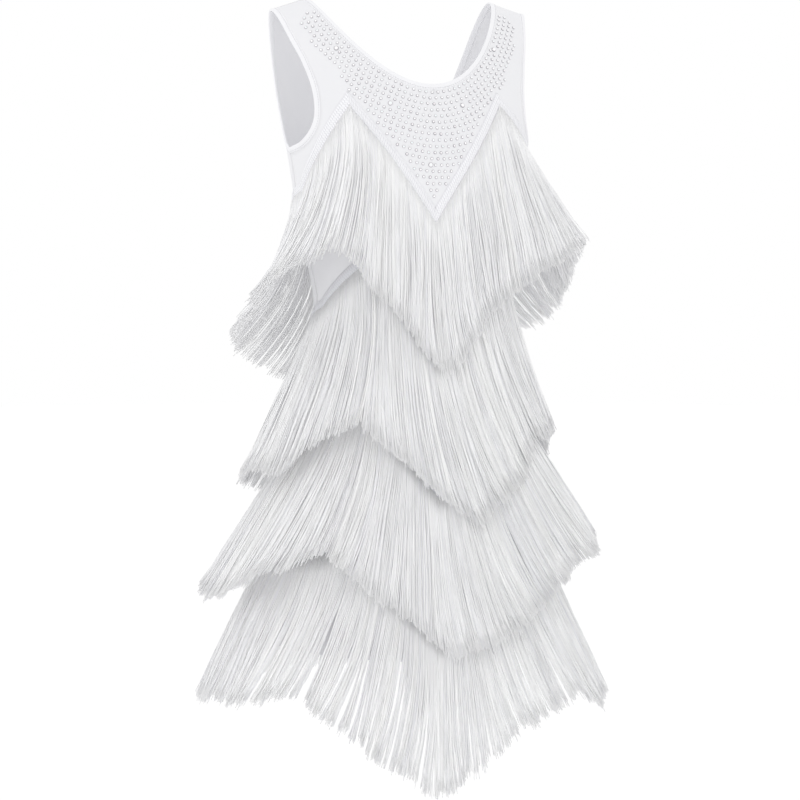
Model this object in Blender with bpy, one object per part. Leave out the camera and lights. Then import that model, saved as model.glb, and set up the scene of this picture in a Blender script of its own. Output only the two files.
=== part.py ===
"""Latin dance dress with four tiers of fringe, filled out as it is worn.

Sizes are millimetres until a mesh is made. +Z is up, the front faces -Y and the
wearer's left is +X. The origin is midway between the tops of the two straps.
Angles run round the body in degrees: 0 at centre front, 90 at the wearer's left
side seam, 180 at centre back and -90 at the wearer's right side seam.
"""
import math
from typing import NamedTuple

import bmesh
import bpy
from mathutils import Vector

MM = 0.001
COLLECTION_NAME = "latin_dance_dress"

# Driving sizes
CLOTH = 1.5                 # wall of the knit
SEAM_GAP = 0.3              # between pieces that are sewn together
STRAP_FALL = 0.30           # slope of the shoulder seam outside the neck
NECK_HALF = 112.0           # half the neck opening at the shoulder seam
UNDERARM = -178.0           # foot of the yoke, just under the armhole bindings
YOKE_RISE = 200.0           # cloth from the underarm up to the shoulder seam
SHOULDER_CURVE = 1.8        # how squarely the yoke turns over the shoulder
HEM_CENTRE = -740.0         # the hem's height at centre front and back
HEM_SIDE = -720.0
BINDING_WIDTH = 7.0
BINDING_PROUD = 0.3         # how far a binding stands out of the cloth
BINDING_THICKNESS = 2.1

# Mesh steps
HALF_COLUMNS = 10           # across half a panel
SKIRT_ROWS = 15             # from the underarm down to the hem
SHOULDER_SEAM_DROP = 0.45   # on the pattern, parts the panels at the shoulder
SIDE_SEAM_ANGLE = 0.1       # degrees from the side seam to a panel's edge
EDGE_SAMPLES = 60           # along a cut edge, before its rows are placed
OFFSET_STEPS = 5            # an edge is moved into the cloth in short steps

# Fringe
BRAID_WIDTH = 11.0
BRAID_THICKNESS = 2.0
BRAID_OFFSET = 1.4          # from the cloth to the back of the braid
LOCKS_PER_PANEL = 28
LOCK_SHARE = 0.86           # of a lock's pitch, the rest is the gap beside it
LOCK_TIP_THICKNESS = 1.4
LOCK_STAGES = (0.22, 0.48, 0.75, 1.0)
STRAND_SUBSTEPS = 24        # in which a strand's fall is added up
SWING_BEND = 1.5            # 1 is straight, more turns aside late
MIDDLE_BEND = 1.3           # outward bend of the strands at centre front and back
LEAST_FALL = 0.25           # a strand always falls by this share of its length
DRIFT_NARROWNESS = 1.5      # the drift dies out 90 / 1.5 degrees from centre front
FLARE_START = 18.0          # the front's strands begin to stand out here
FLARE_FULL = 56.0
BACK_FLARE_FULL = 115.0
BACK_FLARE_END = 165.0
BRAID_SLOPE_STEP = 0.3      # degrees over which a braid's slope is measured
ZIGZAG_ANGLES = (0.0, 35.5, 76.0, 115.0, 180.0)     # valley, peak, side, back side, back
ZIGZAG_CENTRE = -3.0        # the braids sit turned this far from centre front


class Section(NamedTuple):
    """A level section of the dress: an ellipse with unequal front and back."""

    height: float
    half_width: float
    front: float
    back: float
    centre_x: float
    centre_y: float


SECTIONS = (
    Section(-960.0, 236.0, 180.0, 180.0, -2.0, -8.0),
    Section(-760.0, 195.0, 150.0, 150.0, -1.0, -10.0),
    Section(-620.0, 162.0, 124.0, 128.0, 2.0, -14.0),
    Section(-490.0, 133.0, 106.0, 110.0, 4.0, -18.0),
    Section(-350.0, 114.0, 88.0, 84.0, 4.0, -24.0),
    Section(-250.0, 132.0, 97.0, 84.0, 4.0, -20.0),
    Section(-178.0, 143.0, 97.0, 86.0, 5.0, -16.0),
    Section(-90.0, 157.0, 96.0, 88.0, 4.0, -7.0),
    Section(0.0, 168.0, 95.0, 88.0, 0.0, 0.0),
)


class EdgePoint(NamedTuple):
    """A place on the cut edge of an armhole."""

    from_centre: float      # degrees from the centre of the panel
    height: float


class Pattern(NamedTuple):
    """How a panel is cut: its neck and its armholes, the same on both halves."""

    centre: float           # angle of the panel's middle
    neck_depth: float
    neck_power: float       # 2 is a round scoop, more is squarer
    armhole: tuple
    strap_rows: int         # rows of mesh from the shoulder to the bottom of the neck
    strap_share: float      # part of the armhole that those rows face
    underarm_rows: int      # rows facing the rest of the armhole


FRONT = Pattern(
    0.0, 97.0, 2.05,
    (
        EdgePoint(71.0, 0.0),
        EdgePoint(64.5, -40.0),
        EdgePoint(59.0, -75.0),
        EdgePoint(57.0, -108.0),
        EdgePoint(61.0, -139.0),
        EdgePoint(73.0, -160.0),
        EdgePoint(90.0, -168.0),
    ),
    9, 0.62, 5,
)
BACK = Pattern(
    180.0, 180.0, 3.0,
    (
        EdgePoint(71.0, 0.0),
        EdgePoint(73.0, -40.0),
        EdgePoint(75.0, -75.0),
        EdgePoint(77.0, -108.0),
        EdgePoint(79.5, -138.0),
        EdgePoint(83.5, -159.0),
        EdgePoint(90.0, -168.0),
    ),
    14, 1.0, 0,
)


class Tier(NamedTuple):
    """One tier of fringe: the heights of its braid, and where its ends are carried."""

    valley: float           # braid height at centre front
    peak: float
    right_side: float       # near the wearer's right side seam
    left_side: float
    back_side: float
    back: float
    lengths: tuple          # angle of the root, and how long the strands are there
    front_lift: float       # of the ends off the cloth
    right_lift: float       # at the wearer's right
    left_lift: float
    back_lift: float
    right_bend: float       # 1 is straight, more turns out late
    left_bend: float
    right_swing: float      # degrees that the ends fan out from the centre
    left_swing: float
    drift: float            # degrees that the strands at centre front lean left


TIERS = (
    Tier(
        valley=-244.0, peak=-115.0, right_side=-212.0, left_side=-190.0, back_side=-236.0, back=-290.0,
        lengths=(
            (-180.0, 170.0), (-145.0, 180.0), (-95.0, 170.0), (-70.0, 160.0), (-47.0, 176.0), (-36.0, 165.0),
            (15.0, 169.0), (32.0, 202.0), (40.0, 186.0), (52.0, 156.0), (95.0, 150.0),
            (145.0, 160.0), (180.0, 170.0),
        ),
        front_lift=16.0, right_lift=88.0, left_lift=76.0, back_lift=26.0, right_bend=1.25,
        left_bend=1.0, right_swing=12.0, left_swing=20.0, drift=4.0,
    ),
    Tier(
        valley=-397.0, peak=-287.0, right_side=-343.0, left_side=-318.0, back_side=-368.0, back=-410.0,
        lengths=(
            (-100.0, 186.0), (-80.0, 184.0), (-64.0, 210.0), (-52.0, 190.0), (-41.0, 178.0), (-32.0, 184.0),
            (-20.0, 180.0), (0.0, 190.0), (20.0, 211.0), (38.0, 214.0), (60.0, 184.0), (80.0, 180.0),
            (110.0, 186.0),
        ),
        front_lift=18.0, right_lift=48.0, left_lift=36.0, back_lift=26.0, right_bend=1.0,
        left_bend=1.0, right_swing=7.0, left_swing=12.0, drift=14.0,
    ),
    Tier(
        valley=-552.0, peak=-446.0, right_side=-499.0, left_side=-468.0, back_side=-510.0, back=-536.0,
        lengths=(
            (-130.0, 170.0), (-95.0, 178.0), (-62.0, 176.0), (-48.0, 178.0), (-35.0, 165.0), (-20.0, 165.0),
            (0.0, 178.0), (12.0, 197.0), (30.0, 215.0), (50.0, 208.0), (75.0, 166.0), (105.0, 160.0),
            (130.0, 170.0),
        ),
        front_lift=22.0, right_lift=60.0, left_lift=66.0, back_lift=26.0, right_bend=1.0,
        left_bend=1.0, right_swing=11.0, left_swing=22.0, drift=5.0,
    ),
    Tier(
        valley=-713.0, peak=-610.0, right_side=-626.0, left_side=-638.0, back_side=-640.0, back=-636.0,
        lengths=(
            (-100.0, 162.0), (-80.0, 158.0), (-62.0, 167.0), (-30.0, 160.0), (0.0, 166.0), (14.0, 149.0),
            (25.0, 175.0), (45.0, 203.0), (60.0, 190.0), (72.0, 174.0), (85.0, 158.0), (110.0, 164.0),
        ),
        front_lift=16.0, right_lift=32.0, left_lift=38.0, back_lift=20.0, right_bend=1.0,
        left_bend=1.0, right_swing=10.0, left_swing=17.0, drift=-2.0,
    ),
)


class Finish(NamedTuple):
    """A plain colour for one sub-part."""

    colour: tuple
    roughness: float


KNIT = Finish((0.80, 0.80, 0.82), 0.8)
BINDING = Finish((0.76, 0.76, 0.78), 0.75)
YARN = Finish((0.70, 0.70, 0.72), 0.6)


# ---------------------------------------------------------------- form

def monotone_slopes(heights, values):
    """Slopes of a curve through the values that never overshoots them."""
    steps = [(values[i + 1] - values[i]) / (heights[i + 1] - heights[i]) for i in range(len(values) - 1)]
    slopes = [steps[0]]
    for before, after in zip(steps, steps[1:]):
        slopes.append(0.0 if before * after <= 0.0 else 2.0 * before * after / (before + after))
    slopes.append(steps[-1])
    return slopes


SECTION_HEIGHTS = [row.height for row in SECTIONS]
SECTION_VALUES = list(zip(*[row[1:] for row in SECTIONS]))
SECTION_SLOPES = [monotone_slopes(SECTION_HEIGHTS, column) for column in SECTION_VALUES]


def section_at(height):
    """Half width, front, back, centre x and centre y of the section at a height."""
    last = len(SECTION_HEIGHTS) - 2
    row = max(0, min(last, sum(1 for edge in SECTION_HEIGHTS[1:] if height > edge)))
    span = SECTION_HEIGHTS[row + 1] - SECTION_HEIGHTS[row]
    t = max(0.0, min(1.0, (height - SECTION_HEIGHTS[row]) / span))
    start = (1.0 + 2.0 * t) * (1.0 - t) ** 2
    end = t * t * (3.0 - 2.0 * t)
    rise = t * (1.0 - t) ** 2
    fall = t * t * (t - 1.0)
    return [
        start * values[row] + end * values[row + 1] + span * (rise * slopes[row] + fall * slopes[row + 1])
        for values, slopes in zip(SECTION_VALUES, SECTION_SLOPES)
    ]


def ridge_height(angle):
    """Height of the shoulder seam above an angle."""
    across = abs(SECTIONS[-1].half_width * math.sin(math.radians(angle)))
    return -STRAP_FALL * max(across - NECK_HALF, 0.0)


def rise_share(angle, height):
    """Share of the way from the underarm up to the shoulder seam, 0 below the underarm."""
    return max(0.0, min(1.0, (height - UNDERARM) / (ridge_height(angle) - UNDERARM)))


def pattern_height(angle, height):
    """Height on the flat pattern of a point of the dress."""
    if height <= UNDERARM:
        return height
    return UNDERARM + YOKE_RISE * math.asin(rise_share(angle, height)) * 2.0 / math.pi


def surface(angle, pattern):
    """Point on the outside of the cloth at an angle and a height on the pattern."""
    share = 0.0
    height = pattern
    if pattern > UNDERARM:
        share = math.sin(min(1.0, (pattern - UNDERARM) / YOKE_RISE) * math.pi / 2.0)
        height = UNDERARM + (ridge_height(angle) - UNDERARM) * share
    half_width, front, back, centre_x, centre_y = section_at(height)
    lean = max(0.0, 1.0 - share ** SHOULDER_CURVE) ** (1.0 / SHOULDER_CURVE)
    turn = math.radians(angle)
    depth = front if math.cos(turn) >= 0.0 else back
    x = centre_x + half_width * math.sin(turn)
    y = centre_y - depth * math.cos(turn) * lean
    return Vector((x, y, height))


def surface_normal(angle, pattern):
    """Outward direction of the cloth."""
    around = surface(angle + 0.2, pattern) - surface(angle - 0.2, pattern)
    up = surface(angle, pattern + 0.5) - surface(angle, pattern - 0.5)
    return around.cross(up).normalized()


def millimetres_per_degree(angle, pattern):
    """Cloth round the body for one degree."""
    return (surface(angle + 0.5, pattern) - surface(angle - 0.5, pattern)).length


def millimetres_per_rise(angle, pattern):
    """Cloth up the body for one millimetre of the pattern's height."""
    return (surface(angle, pattern + 0.5) - surface(angle, pattern - 0.5)).length


# ---------------------------------------------------------------- edges on the pattern

TOP = UNDERARM + YOKE_RISE


def along(points, shares):
    """Points at some shares of the way along a run of (angle, pattern) pairs, by length of cloth."""
    lengths = [0.0]
    for (angle_a, pattern_a), (angle_b, pattern_b) in zip(points, points[1:]):
        piece = surface(angle_b, pattern_b) - surface(angle_a, pattern_a)
        lengths.append(lengths[-1] + piece.length)
    result = []
    for share in shares:
        target = lengths[-1] * share
        place = max(0, min(len(points) - 2, sum(1 for length in lengths[1:] if length < target)))
        t = (target - lengths[place]) / (lengths[place + 1] - lengths[place])
        result.append(tuple(a + (b - a) * t for a, b in zip(points[place], points[place + 1])))
    return result


def neck_edge(cut, shares):
    """Cut edge of half a neck, from the shoulder on the side of larger angles to the centre."""
    top_angle = math.degrees(math.asin(NECK_HALF / SECTIONS[-1].half_width))
    points = [(cut.centre + top_angle, TOP)]
    for step in range(1, EDGE_SAMPLES + 1):
        share = 1.0 - step / EDGE_SAMPLES
        angle = cut.centre + share * top_angle
        height = cut.neck_depth * (share ** cut.neck_power - 1.0)
        points.append((angle, pattern_height(angle, height)))
    return along(points, shares)


def armhole_edge(cut, shares):
    """Cut edge of an armhole, from the shoulder on the side of larger angles to the side seam."""
    knots = [(cut.centre + row.from_centre, pattern_height(cut.centre + row.from_centre, row.height))
             for row in cut.armhole]
    knots[0] = (knots[0][0], TOP)
    padded = [knots[0]] + knots + [knots[-1]]
    points = []
    for before, start, end, after in zip(padded, padded[1:], padded[2:], padded[3:]):
        for step in range(EDGE_SAMPLES // 6):
            t = step * 6.0 / EDGE_SAMPLES
            points.append(tuple(
                0.5 * (2.0 * q + (r - p) * t + (2.0 * p - 5.0 * q + 4.0 * r - s) * t ** 2
                       + (3.0 * q - p - 3.0 * r + s) * t ** 3)
                for p, q, r, s in zip(before, start, end, after)
            ))
    points.append(knots[-1])
    return along(points, shares)


def moved_in(points, distance, hand):
    """An edge moved into the cloth. Hand is 1 where the cloth is on the right of the edge, or -1."""
    result = []
    last = len(points) - 1
    for index, (angle, pattern) in enumerate(points):
        before = points[max(0, index - 1)]
        after = points[min(last, index + 1)]
        across = (after[0] - before[0]) * millimetres_per_degree(angle, pattern)
        up = (after[1] - before[1]) * millimetres_per_rise(angle, pattern)
        if index == 0:
            across = 0.0
        elif index == last:
            up = 0.0
        size = math.hypot(across, up)
        for _ in range(OFFSET_STEPS):
            angle += hand * up / size * distance / OFFSET_STEPS / millimetres_per_degree(angle, pattern)
            pattern -= hand * across / size * distance / OFFSET_STEPS / millimetres_per_rise(angle, pattern)
        result.append((angle, TOP if index == 0 else pattern))
    return result


def mirrored(cut, points):
    """The same points on the other half of a panel."""
    return [(2.0 * cut.centre - angle, pattern) for angle, pattern in points]


def neck_shares(cut):
    """Where the rows of mesh meet the neck edge."""
    return [row / cut.strap_rows for row in range(cut.strap_rows + 1)]


def armhole_shares(cut):
    """Where the rows of mesh meet the armhole edge."""
    shares = [cut.strap_share * row / cut.strap_rows for row in range(cut.strap_rows + 1)]
    rest = 1.0 - cut.strap_share
    lower = [row / cut.underarm_rows for row in range(1, cut.underarm_rows + 1)]
    return shares + [1.0 - rest * (1.0 - share) for share in lower]


# ---------------------------------------------------------------- meshes

def material(name, finish):
    """A Principled material with a plain colour."""
    result = bpy.data.materials.new(name)
    result.use_nodes = True
    shader = result.node_tree.nodes["Principled BSDF"]
    shader.inputs["Base Color"].default_value = (*finish.colour, 1.0)
    shader.inputs["Roughness"].default_value = finish.roughness
    shader.inputs["Metallic"].default_value = 0.0
    result.diffuse_color = (*finish.colour, 1.0)
    return result


def add_object(name, mesh, finish):
    """Put a bmesh in the scene as a named object with its own material."""
    bmesh.ops.recalc_face_normals(mesh, faces=mesh.faces)
    data = bpy.data.meshes.new(name)
    mesh.to_mesh(data)
    mesh.free()
    data.materials.append(material(name + "_finish", finish))
    result = bpy.data.objects.new(name, data)
    bpy.data.collections[COLLECTION_NAME].objects.link(result)
    return result


def wall(name, places, faces, proud, thickness, finish):
    """A wall of cloth: faces over (angle, pattern) places, thickened along the normal, rims closed."""
    mesh = bmesh.new()
    outer = []
    inner = []
    for angle, pattern in places:
        point = surface(angle, pattern)
        normal = surface_normal(angle, pattern)
        outer.append(mesh.verts.new((point + normal * proud) * MM))
        inner.append(mesh.verts.new((point + normal * (proud - thickness)) * MM))
    edge_uses = {}
    for face in faces:
        mesh.faces.new([outer[i] for i in face])
        mesh.faces.new([inner[i] for i in reversed(face)])
        for start, end in zip(face, face[1:] + face[:1]):
            edge_uses.setdefault(frozenset((start, end)), []).append((start, end))
    for uses in edge_uses.values():
        if len(uses) == 1:
            start, end = uses[0]
            mesh.faces.new((outer[end], outer[start], inner[start], inner[end]))
    return add_object(name, mesh, finish)


def build_panel(name, cut):
    """A panel in one with its half straps, as rows of mesh that part at the neck."""
    inset = BINDING_WIDTH + SEAM_GAP
    neck = moved_in(neck_edge(cut, neck_shares(cut)), inset, -1)
    armhole = moved_in(armhole_edge(cut, armhole_shares(cut)), inset, 1)
    seam = cut.centre + 90.0
    neck_bottom = neck[-1][1]
    underarm = armhole[-1][1]
    inner = list(neck)
    outer = list(armhole)
    outer[-1] = (seam, underarm)
    centre_rows = cut.underarm_rows + SKIRT_ROWS
    for row in range(1, centre_rows + 1):
        inner.append((cut.centre, neck_bottom + (HEM_CENTRE - neck_bottom) * row / centre_rows))
    for row in range(1, SKIRT_ROWS + 1):
        outer.append((seam, underarm + (HEM_SIDE - underarm) * row / SKIRT_ROWS))
    top = TOP - SHOULDER_SEAM_DROP
    places = []
    numbers = {}
    for row, ((outer_angle, outer_pattern), (inner_angle, inner_pattern)) in enumerate(zip(outer, inner)):
        for column in range(HALF_COLUMNS + 1):
            share = column / HALF_COLUMNS
            angle = outer_angle + (inner_angle - outer_angle) * share
            angle = min(angle, seam - SIDE_SEAM_ANGLE)
            pattern = min(top, outer_pattern + (inner_pattern - outer_pattern) * share)
            for side in (1, -1):
                shared = column == HALF_COLUMNS and row >= cut.strap_rows
                if shared and side == -1:
                    numbers[side, row, column] = numbers[1, row, column]
                    continue
                numbers[side, row, column] = len(places)
                places.append((angle if side == 1 else 2.0 * cut.centre - angle, pattern))
    faces = []
    for side in (1, -1):
        for row in range(len(outer) - 1):
            for column in range(HALF_COLUMNS):
                corners = (
                    numbers[side, row, column],
                    numbers[side, row + 1, column],
                    numbers[side, row + 1, column + 1],
                    numbers[side, row, column + 1],
                )
                faces.append(corners if side == 1 else corners[::-1])
    return wall(name, places, faces, 0.0, CLOTH, KNIT)


def ring_faces(count):
    """Faces between two rings of places, the first ring's numbers before the second's."""
    return [(i, (i + 1) % count, count + (i + 1) % count, count + i) for i in range(count)]


def build_neck_binding():
    """The folded strip round the neck, from the same points as the panels' edges."""
    free = []
    sewn = []
    for cut in (FRONT, BACK):
        half = neck_edge(cut, neck_shares(cut))
        moved = moved_in(half, BINDING_WIDTH, -1)
        free += mirrored(cut, half)[:-1] + half[:0:-1]
        sewn += mirrored(cut, moved)[:-1] + moved[:0:-1]
    faces = ring_faces(len(free))
    return wall("neck_binding", free + sewn, faces, BINDING_PROUD, BINDING_THICKNESS, BINDING)


def build_armhole_binding(name, side):
    """The folded strip round an armhole. Side is 1 at the wearer's left and -1 at the right."""
    front = armhole_edge(FRONT, armhole_shares(FRONT))
    front_moved = moved_in(front, BINDING_WIDTH, 1)
    back = mirrored(BACK, armhole_edge(BACK, armhole_shares(BACK)))
    back_moved = mirrored(BACK, moved_in(armhole_edge(BACK, armhole_shares(BACK)), BINDING_WIDTH, 1))
    free = front[:-1] + back[:0:-1]
    sewn = front_moved[:-1] + back_moved[:0:-1]
    places = [(side * angle, pattern) for angle, pattern in free + sewn]
    return wall(name, places, ring_faces(len(free)), BINDING_PROUD, BINDING_THICKNESS, BINDING)


# ---------------------------------------------------------------- fringe

def folded(angle):
    """Degrees from centre front, the same to the left and to the right."""
    return abs((angle + 180.0) % 360.0 - 180.0)


def braid_height(tier, angle):
    """Height of the middle of a tier's braid."""
    side = tier.left_side if 0.0 < angle % 360.0 < 180.0 else tier.right_side
    heights = (tier.valley, tier.peak, side, tier.back_side, tier.back)
    turn = folded(angle - ZIGZAG_CENTRE)
    leg = max(0, min(3, sum(1 for corner in ZIGZAG_ANGLES[1:] if turn > corner)))
    start, end = ZIGZAG_ANGLES[leg], ZIGZAG_ANGLES[leg + 1]
    return heights[leg] + (heights[leg + 1] - heights[leg]) * (turn - start) / (end - start)


def braid_run(tier, angle):
    """Cloth along the level for one degree, at the braid."""
    return millimetres_per_degree(angle, pattern_height(angle, braid_height(tier, angle)))


def braid_half_height(tier, angle):
    """Half of the braid's width, measured upright, so that a sloping braid keeps its width."""
    total = 0.0
    for turn in (-BRAID_SLOPE_STEP, BRAID_SLOPE_STEP):
        rise = braid_height(tier, angle + turn) - braid_height(tier, angle)
        slope = rise / (BRAID_SLOPE_STEP * braid_run(tier, angle))
        total += BRAID_WIDTH / 2.0 * math.hypot(1.0, slope)
    return total / 2.0


def smooth_step(value):
    """0 below 0, 1 above 1 and smooth between."""
    t = max(0.0, min(1.0, value))
    return t * t * (3.0 - 2.0 * t)


def flare(tier, angle):
    """How far a strand's end is carried off the cloth, and its bend."""
    turn = folded(angle)
    at_right = (angle % 360.0) > 180.0
    side_lift = tier.right_lift if at_right else tier.left_lift
    side_bend = tier.right_bend if at_right else tier.left_bend
    if turn <= 90.0:
        share = smooth_step((turn - FLARE_START) / (FLARE_FULL - FLARE_START))
        middle_lift = tier.front_lift
    else:
        share = 1.0 - smooth_step((turn - BACK_FLARE_FULL) / (BACK_FLARE_END - BACK_FLARE_FULL))
        middle_lift = tier.back_lift
    return middle_lift + (side_lift - middle_lift) * share, MIDDLE_BEND + (side_bend - MIDDLE_BEND) * share


def strand_length(tier, angle):
    """Length of a strand that hangs from an angle."""
    turn = (angle + 180.0) % 360.0 - 180.0
    if turn <= tier.lengths[0][0]:
        return tier.lengths[0][1]
    for (before, length), (after, next_length) in zip(tier.lengths, tier.lengths[1:]):
        if turn <= after:
            return length + (next_length - length) * (turn - before) / (after - before)
    return tier.lengths[-1][1]


def strand(tier, angle, stages):
    """Points down the back of one strand with their level outward directions.

    The strand fans out round the body and away from it, and falls by what is left of its length.
    """
    lift, bend = flare(tier, angle)
    turn = folded(angle)
    fan = tier.right_swing if (angle % 360.0) > 180.0 else tier.left_swing
    swing = fan * math.sin(math.radians(2.0 * angle))
    swing += tier.drift * max(0.0, math.cos(math.radians(min(90.0, turn * DRIFT_NARROWNESS))))
    height = braid_height(tier, angle) - braid_half_height(tier, angle)
    piece = strand_length(tier, angle) / STRAND_SUBSTEPS

    def place(share, level):
        round_to = angle + swing * share ** SWING_BEND
        half_width, front, back = section_at(level)[:3]
        radians = math.radians(round_to)
        depth = front if math.cos(radians) >= 0.0 else back
        outward = Vector((math.sin(radians) / half_width, -math.cos(radians) / depth, 0.0)).normalized()
        point = surface(round_to, pattern_height(round_to, level))
        return point + outward * (BRAID_OFFSET + lift * share ** bend), outward

    result = []
    point = place(0.0, height)[0]
    for step in range(1, STRAND_SUBSTEPS + 1):
        share = step / STRAND_SUBSTEPS
        moved = place(share, height)[0]
        sideways = math.hypot(moved.x - point.x, moved.y - point.y)
        height -= math.sqrt(max(piece ** 2 - sideways ** 2, (LEAST_FALL * piece) ** 2))
        point, outward = place(share, height)
        if any(abs(share - stage) < 0.5 / STRAND_SUBSTEPS for stage in stages):
            result.append((point, outward, share))
    return result


def fringe_columns(tier, corners):
    """Angles that part a braid into locks and gaps, and whether each stretch is a lock."""
    legs = []
    for start, end in zip(corners, corners[1:]):
        run = (end - start) * braid_run(tier, (start + end) / 2.0)
        legs.append(math.hypot(run, braid_height(tier, end) - braid_height(tier, start)))
    angles = [corners[0]]
    locks = []
    for start, end, leg in zip(corners, corners[1:], legs):
        count = max(1, round(LOCKS_PER_PANEL * leg / sum(legs)))
        pitch = (end - start) / count
        for lock in range(count):
            first = start + pitch * (lock + (1.0 - LOCK_SHARE) / 2.0)
            angles += [first, first + pitch * LOCK_SHARE]
            locks += [False, True]
        angles.append(end)
        locks.append(False)
    return angles, locks


def build_fringe(name, tier, corners):
    """A tier's braid on one panel with its locks, which are one piece with it at their roots."""
    angles, locks = fringe_columns(tier, corners)
    mesh = bmesh.new()
    sections = []
    for angle in angles:
        middle = braid_height(tier, angle)
        half = braid_half_height(tier, angle)
        ring = []
        for level in (middle + half, middle - half):
            pattern = pattern_height(angle, level)
            point = surface(angle, pattern)
            normal = surface_normal(angle, pattern)
            for offset in (BRAID_OFFSET + BRAID_THICKNESS, BRAID_OFFSET):
                ring.append(mesh.verts.new((point + normal * offset) * MM))
        sections.append(ring)
    for index, is_lock in enumerate(locks):
        top_outer, top_inner, low_outer, low_inner = zip(sections[index], sections[index + 1])
        mesh.faces.new((top_outer[0], low_outer[0], low_outer[1], top_outer[1]))
        mesh.faces.new((top_inner[1], low_inner[1], low_inner[0], top_inner[0]))
        mesh.faces.new((top_inner[0], top_outer[0], top_outer[1], top_inner[1]))
        if is_lock:
            add_lock(mesh, tier, angles[index:index + 2], (*low_outer, *low_inner[::-1]))
        else:
            mesh.faces.new((low_outer[0], low_inner[0], low_inner[1], low_outer[1]))
    for ring, order in ((sections[0], (0, 1, 3, 2)), (sections[-1], (2, 3, 1, 0))):
        mesh.faces.new([ring[i] for i in order])
    return add_object(name, mesh, YARN)


def add_lock(mesh, tier, edges, root):
    """One lock of strands hanging from four root vertices, its two edges at two angles."""
    ring = root
    for left, right in zip(*(strand(tier, angle, LOCK_STAGES) for angle in edges)):
        thickness = BRAID_THICKNESS + (LOCK_TIP_THICKNESS - BRAID_THICKNESS) * left[2]
        following = [
            mesh.verts.new((point + outward * offset) * MM)
            for (point, outward, _), offset in (
                (left, thickness), (right, thickness), (right, 0.0), (left, 0.0),
            )
        ]
        for side in range(4):
            after = (side + 1) % 4
            mesh.faces.new((ring[side], following[side], following[after], ring[after]))
        ring = following
    mesh.faces.new(ring)


def panel_corners(cut):
    """Angles of the braid's corners on one panel, from seam to seam."""
    corners = {turn for corner in ZIGZAG_ANGLES for turn in (corner, 2.0 * cut.centre - corner)}
    turns = {turn + ZIGZAG_CENTRE for turn in corners}
    first = cut.centre - 90.0 + SIDE_SEAM_ANGLE
    last = cut.centre + 90.0 - SIDE_SEAM_ANGLE
    return [first] + sorted(turn for turn in turns if first < turn < last) + [last]


# ---------------------------------------------------------------- the dress

def main():
    """Clear the file and build every piece."""
    for existing in list(bpy.data.objects):
        bpy.data.objects.remove(existing)
    collection = bpy.data.collections.new(COLLECTION_NAME)
    bpy.context.scene.collection.children.link(collection)
    build_panel("front_panel", FRONT)
    build_panel("back_panel", BACK)
    build_neck_binding()
    build_armhole_binding("right_armhole_binding", -1)
    build_armhole_binding("left_armhole_binding", 1)
    for number, tier in enumerate(TIERS, start=1):
        build_fringe(f"front_fringe_{number}", tier, panel_corners(FRONT))
        build_fringe(f"back_fringe_{number}", tier, panel_corners(BACK))


main()
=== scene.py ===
"""Looks of a latin dance dress with four tiers of chainette fringe, worn shape, no wearer.

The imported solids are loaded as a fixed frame. Each piece of cloth or fringe stands for one of
them and repeats its form from the same sizes, finer. The stitches and stones lie on these
pieces. Sizes are millimetres until a mesh is made.
+Z is up, the front faces -Y and the wearer's left is +X. Angles run round the body in
degrees: 0 at centre front, 90 at the wearer's left side seam, 180 at centre back.
"""
from __future__ import annotations

import logging
import math
from dataclasses import dataclass, field
from enum import Enum
from functools import cached_property

import bpy
import numpy as np
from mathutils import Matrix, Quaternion, Vector

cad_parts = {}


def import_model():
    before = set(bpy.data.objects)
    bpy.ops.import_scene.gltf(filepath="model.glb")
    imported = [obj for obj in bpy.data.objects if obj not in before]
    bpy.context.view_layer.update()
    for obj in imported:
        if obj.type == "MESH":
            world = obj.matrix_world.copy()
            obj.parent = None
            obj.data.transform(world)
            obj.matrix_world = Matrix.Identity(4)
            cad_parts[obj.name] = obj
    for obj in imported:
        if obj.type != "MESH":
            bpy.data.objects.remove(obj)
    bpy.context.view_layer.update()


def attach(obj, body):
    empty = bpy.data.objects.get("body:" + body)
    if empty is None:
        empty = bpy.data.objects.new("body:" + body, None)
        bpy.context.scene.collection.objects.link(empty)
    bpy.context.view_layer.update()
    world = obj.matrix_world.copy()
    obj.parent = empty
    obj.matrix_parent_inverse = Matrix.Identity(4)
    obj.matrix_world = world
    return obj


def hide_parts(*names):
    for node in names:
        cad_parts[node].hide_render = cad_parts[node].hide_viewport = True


Array = np.ndarray

LOG = logging.getLogger("latin_dance_dress")
MM = 0.001
BODY = "root"


class WearerSide(Enum):
    """A side of the dress, as the wearer has it, with the sign of its X."""

    RIGHT = -1
    LEFT = 1


class Hold(Enum):
    """How a sheet of cloth is held up."""

    HUNG = "hung"


# ---------------------------------------------------------------- small helpers

def smooth_step(value: Array) -> Array:
    """0 below 0, 1 above 1 and smooth between."""
    t = np.clip(value, 0.0, 1.0)
    return t * t * (3.0 - 2.0 * t)


def normalised(vectors: Array) -> Array:
    """Vectors of length 1."""
    return vectors / np.linalg.norm(vectors, axis=-1, keepdims=True)


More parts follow.
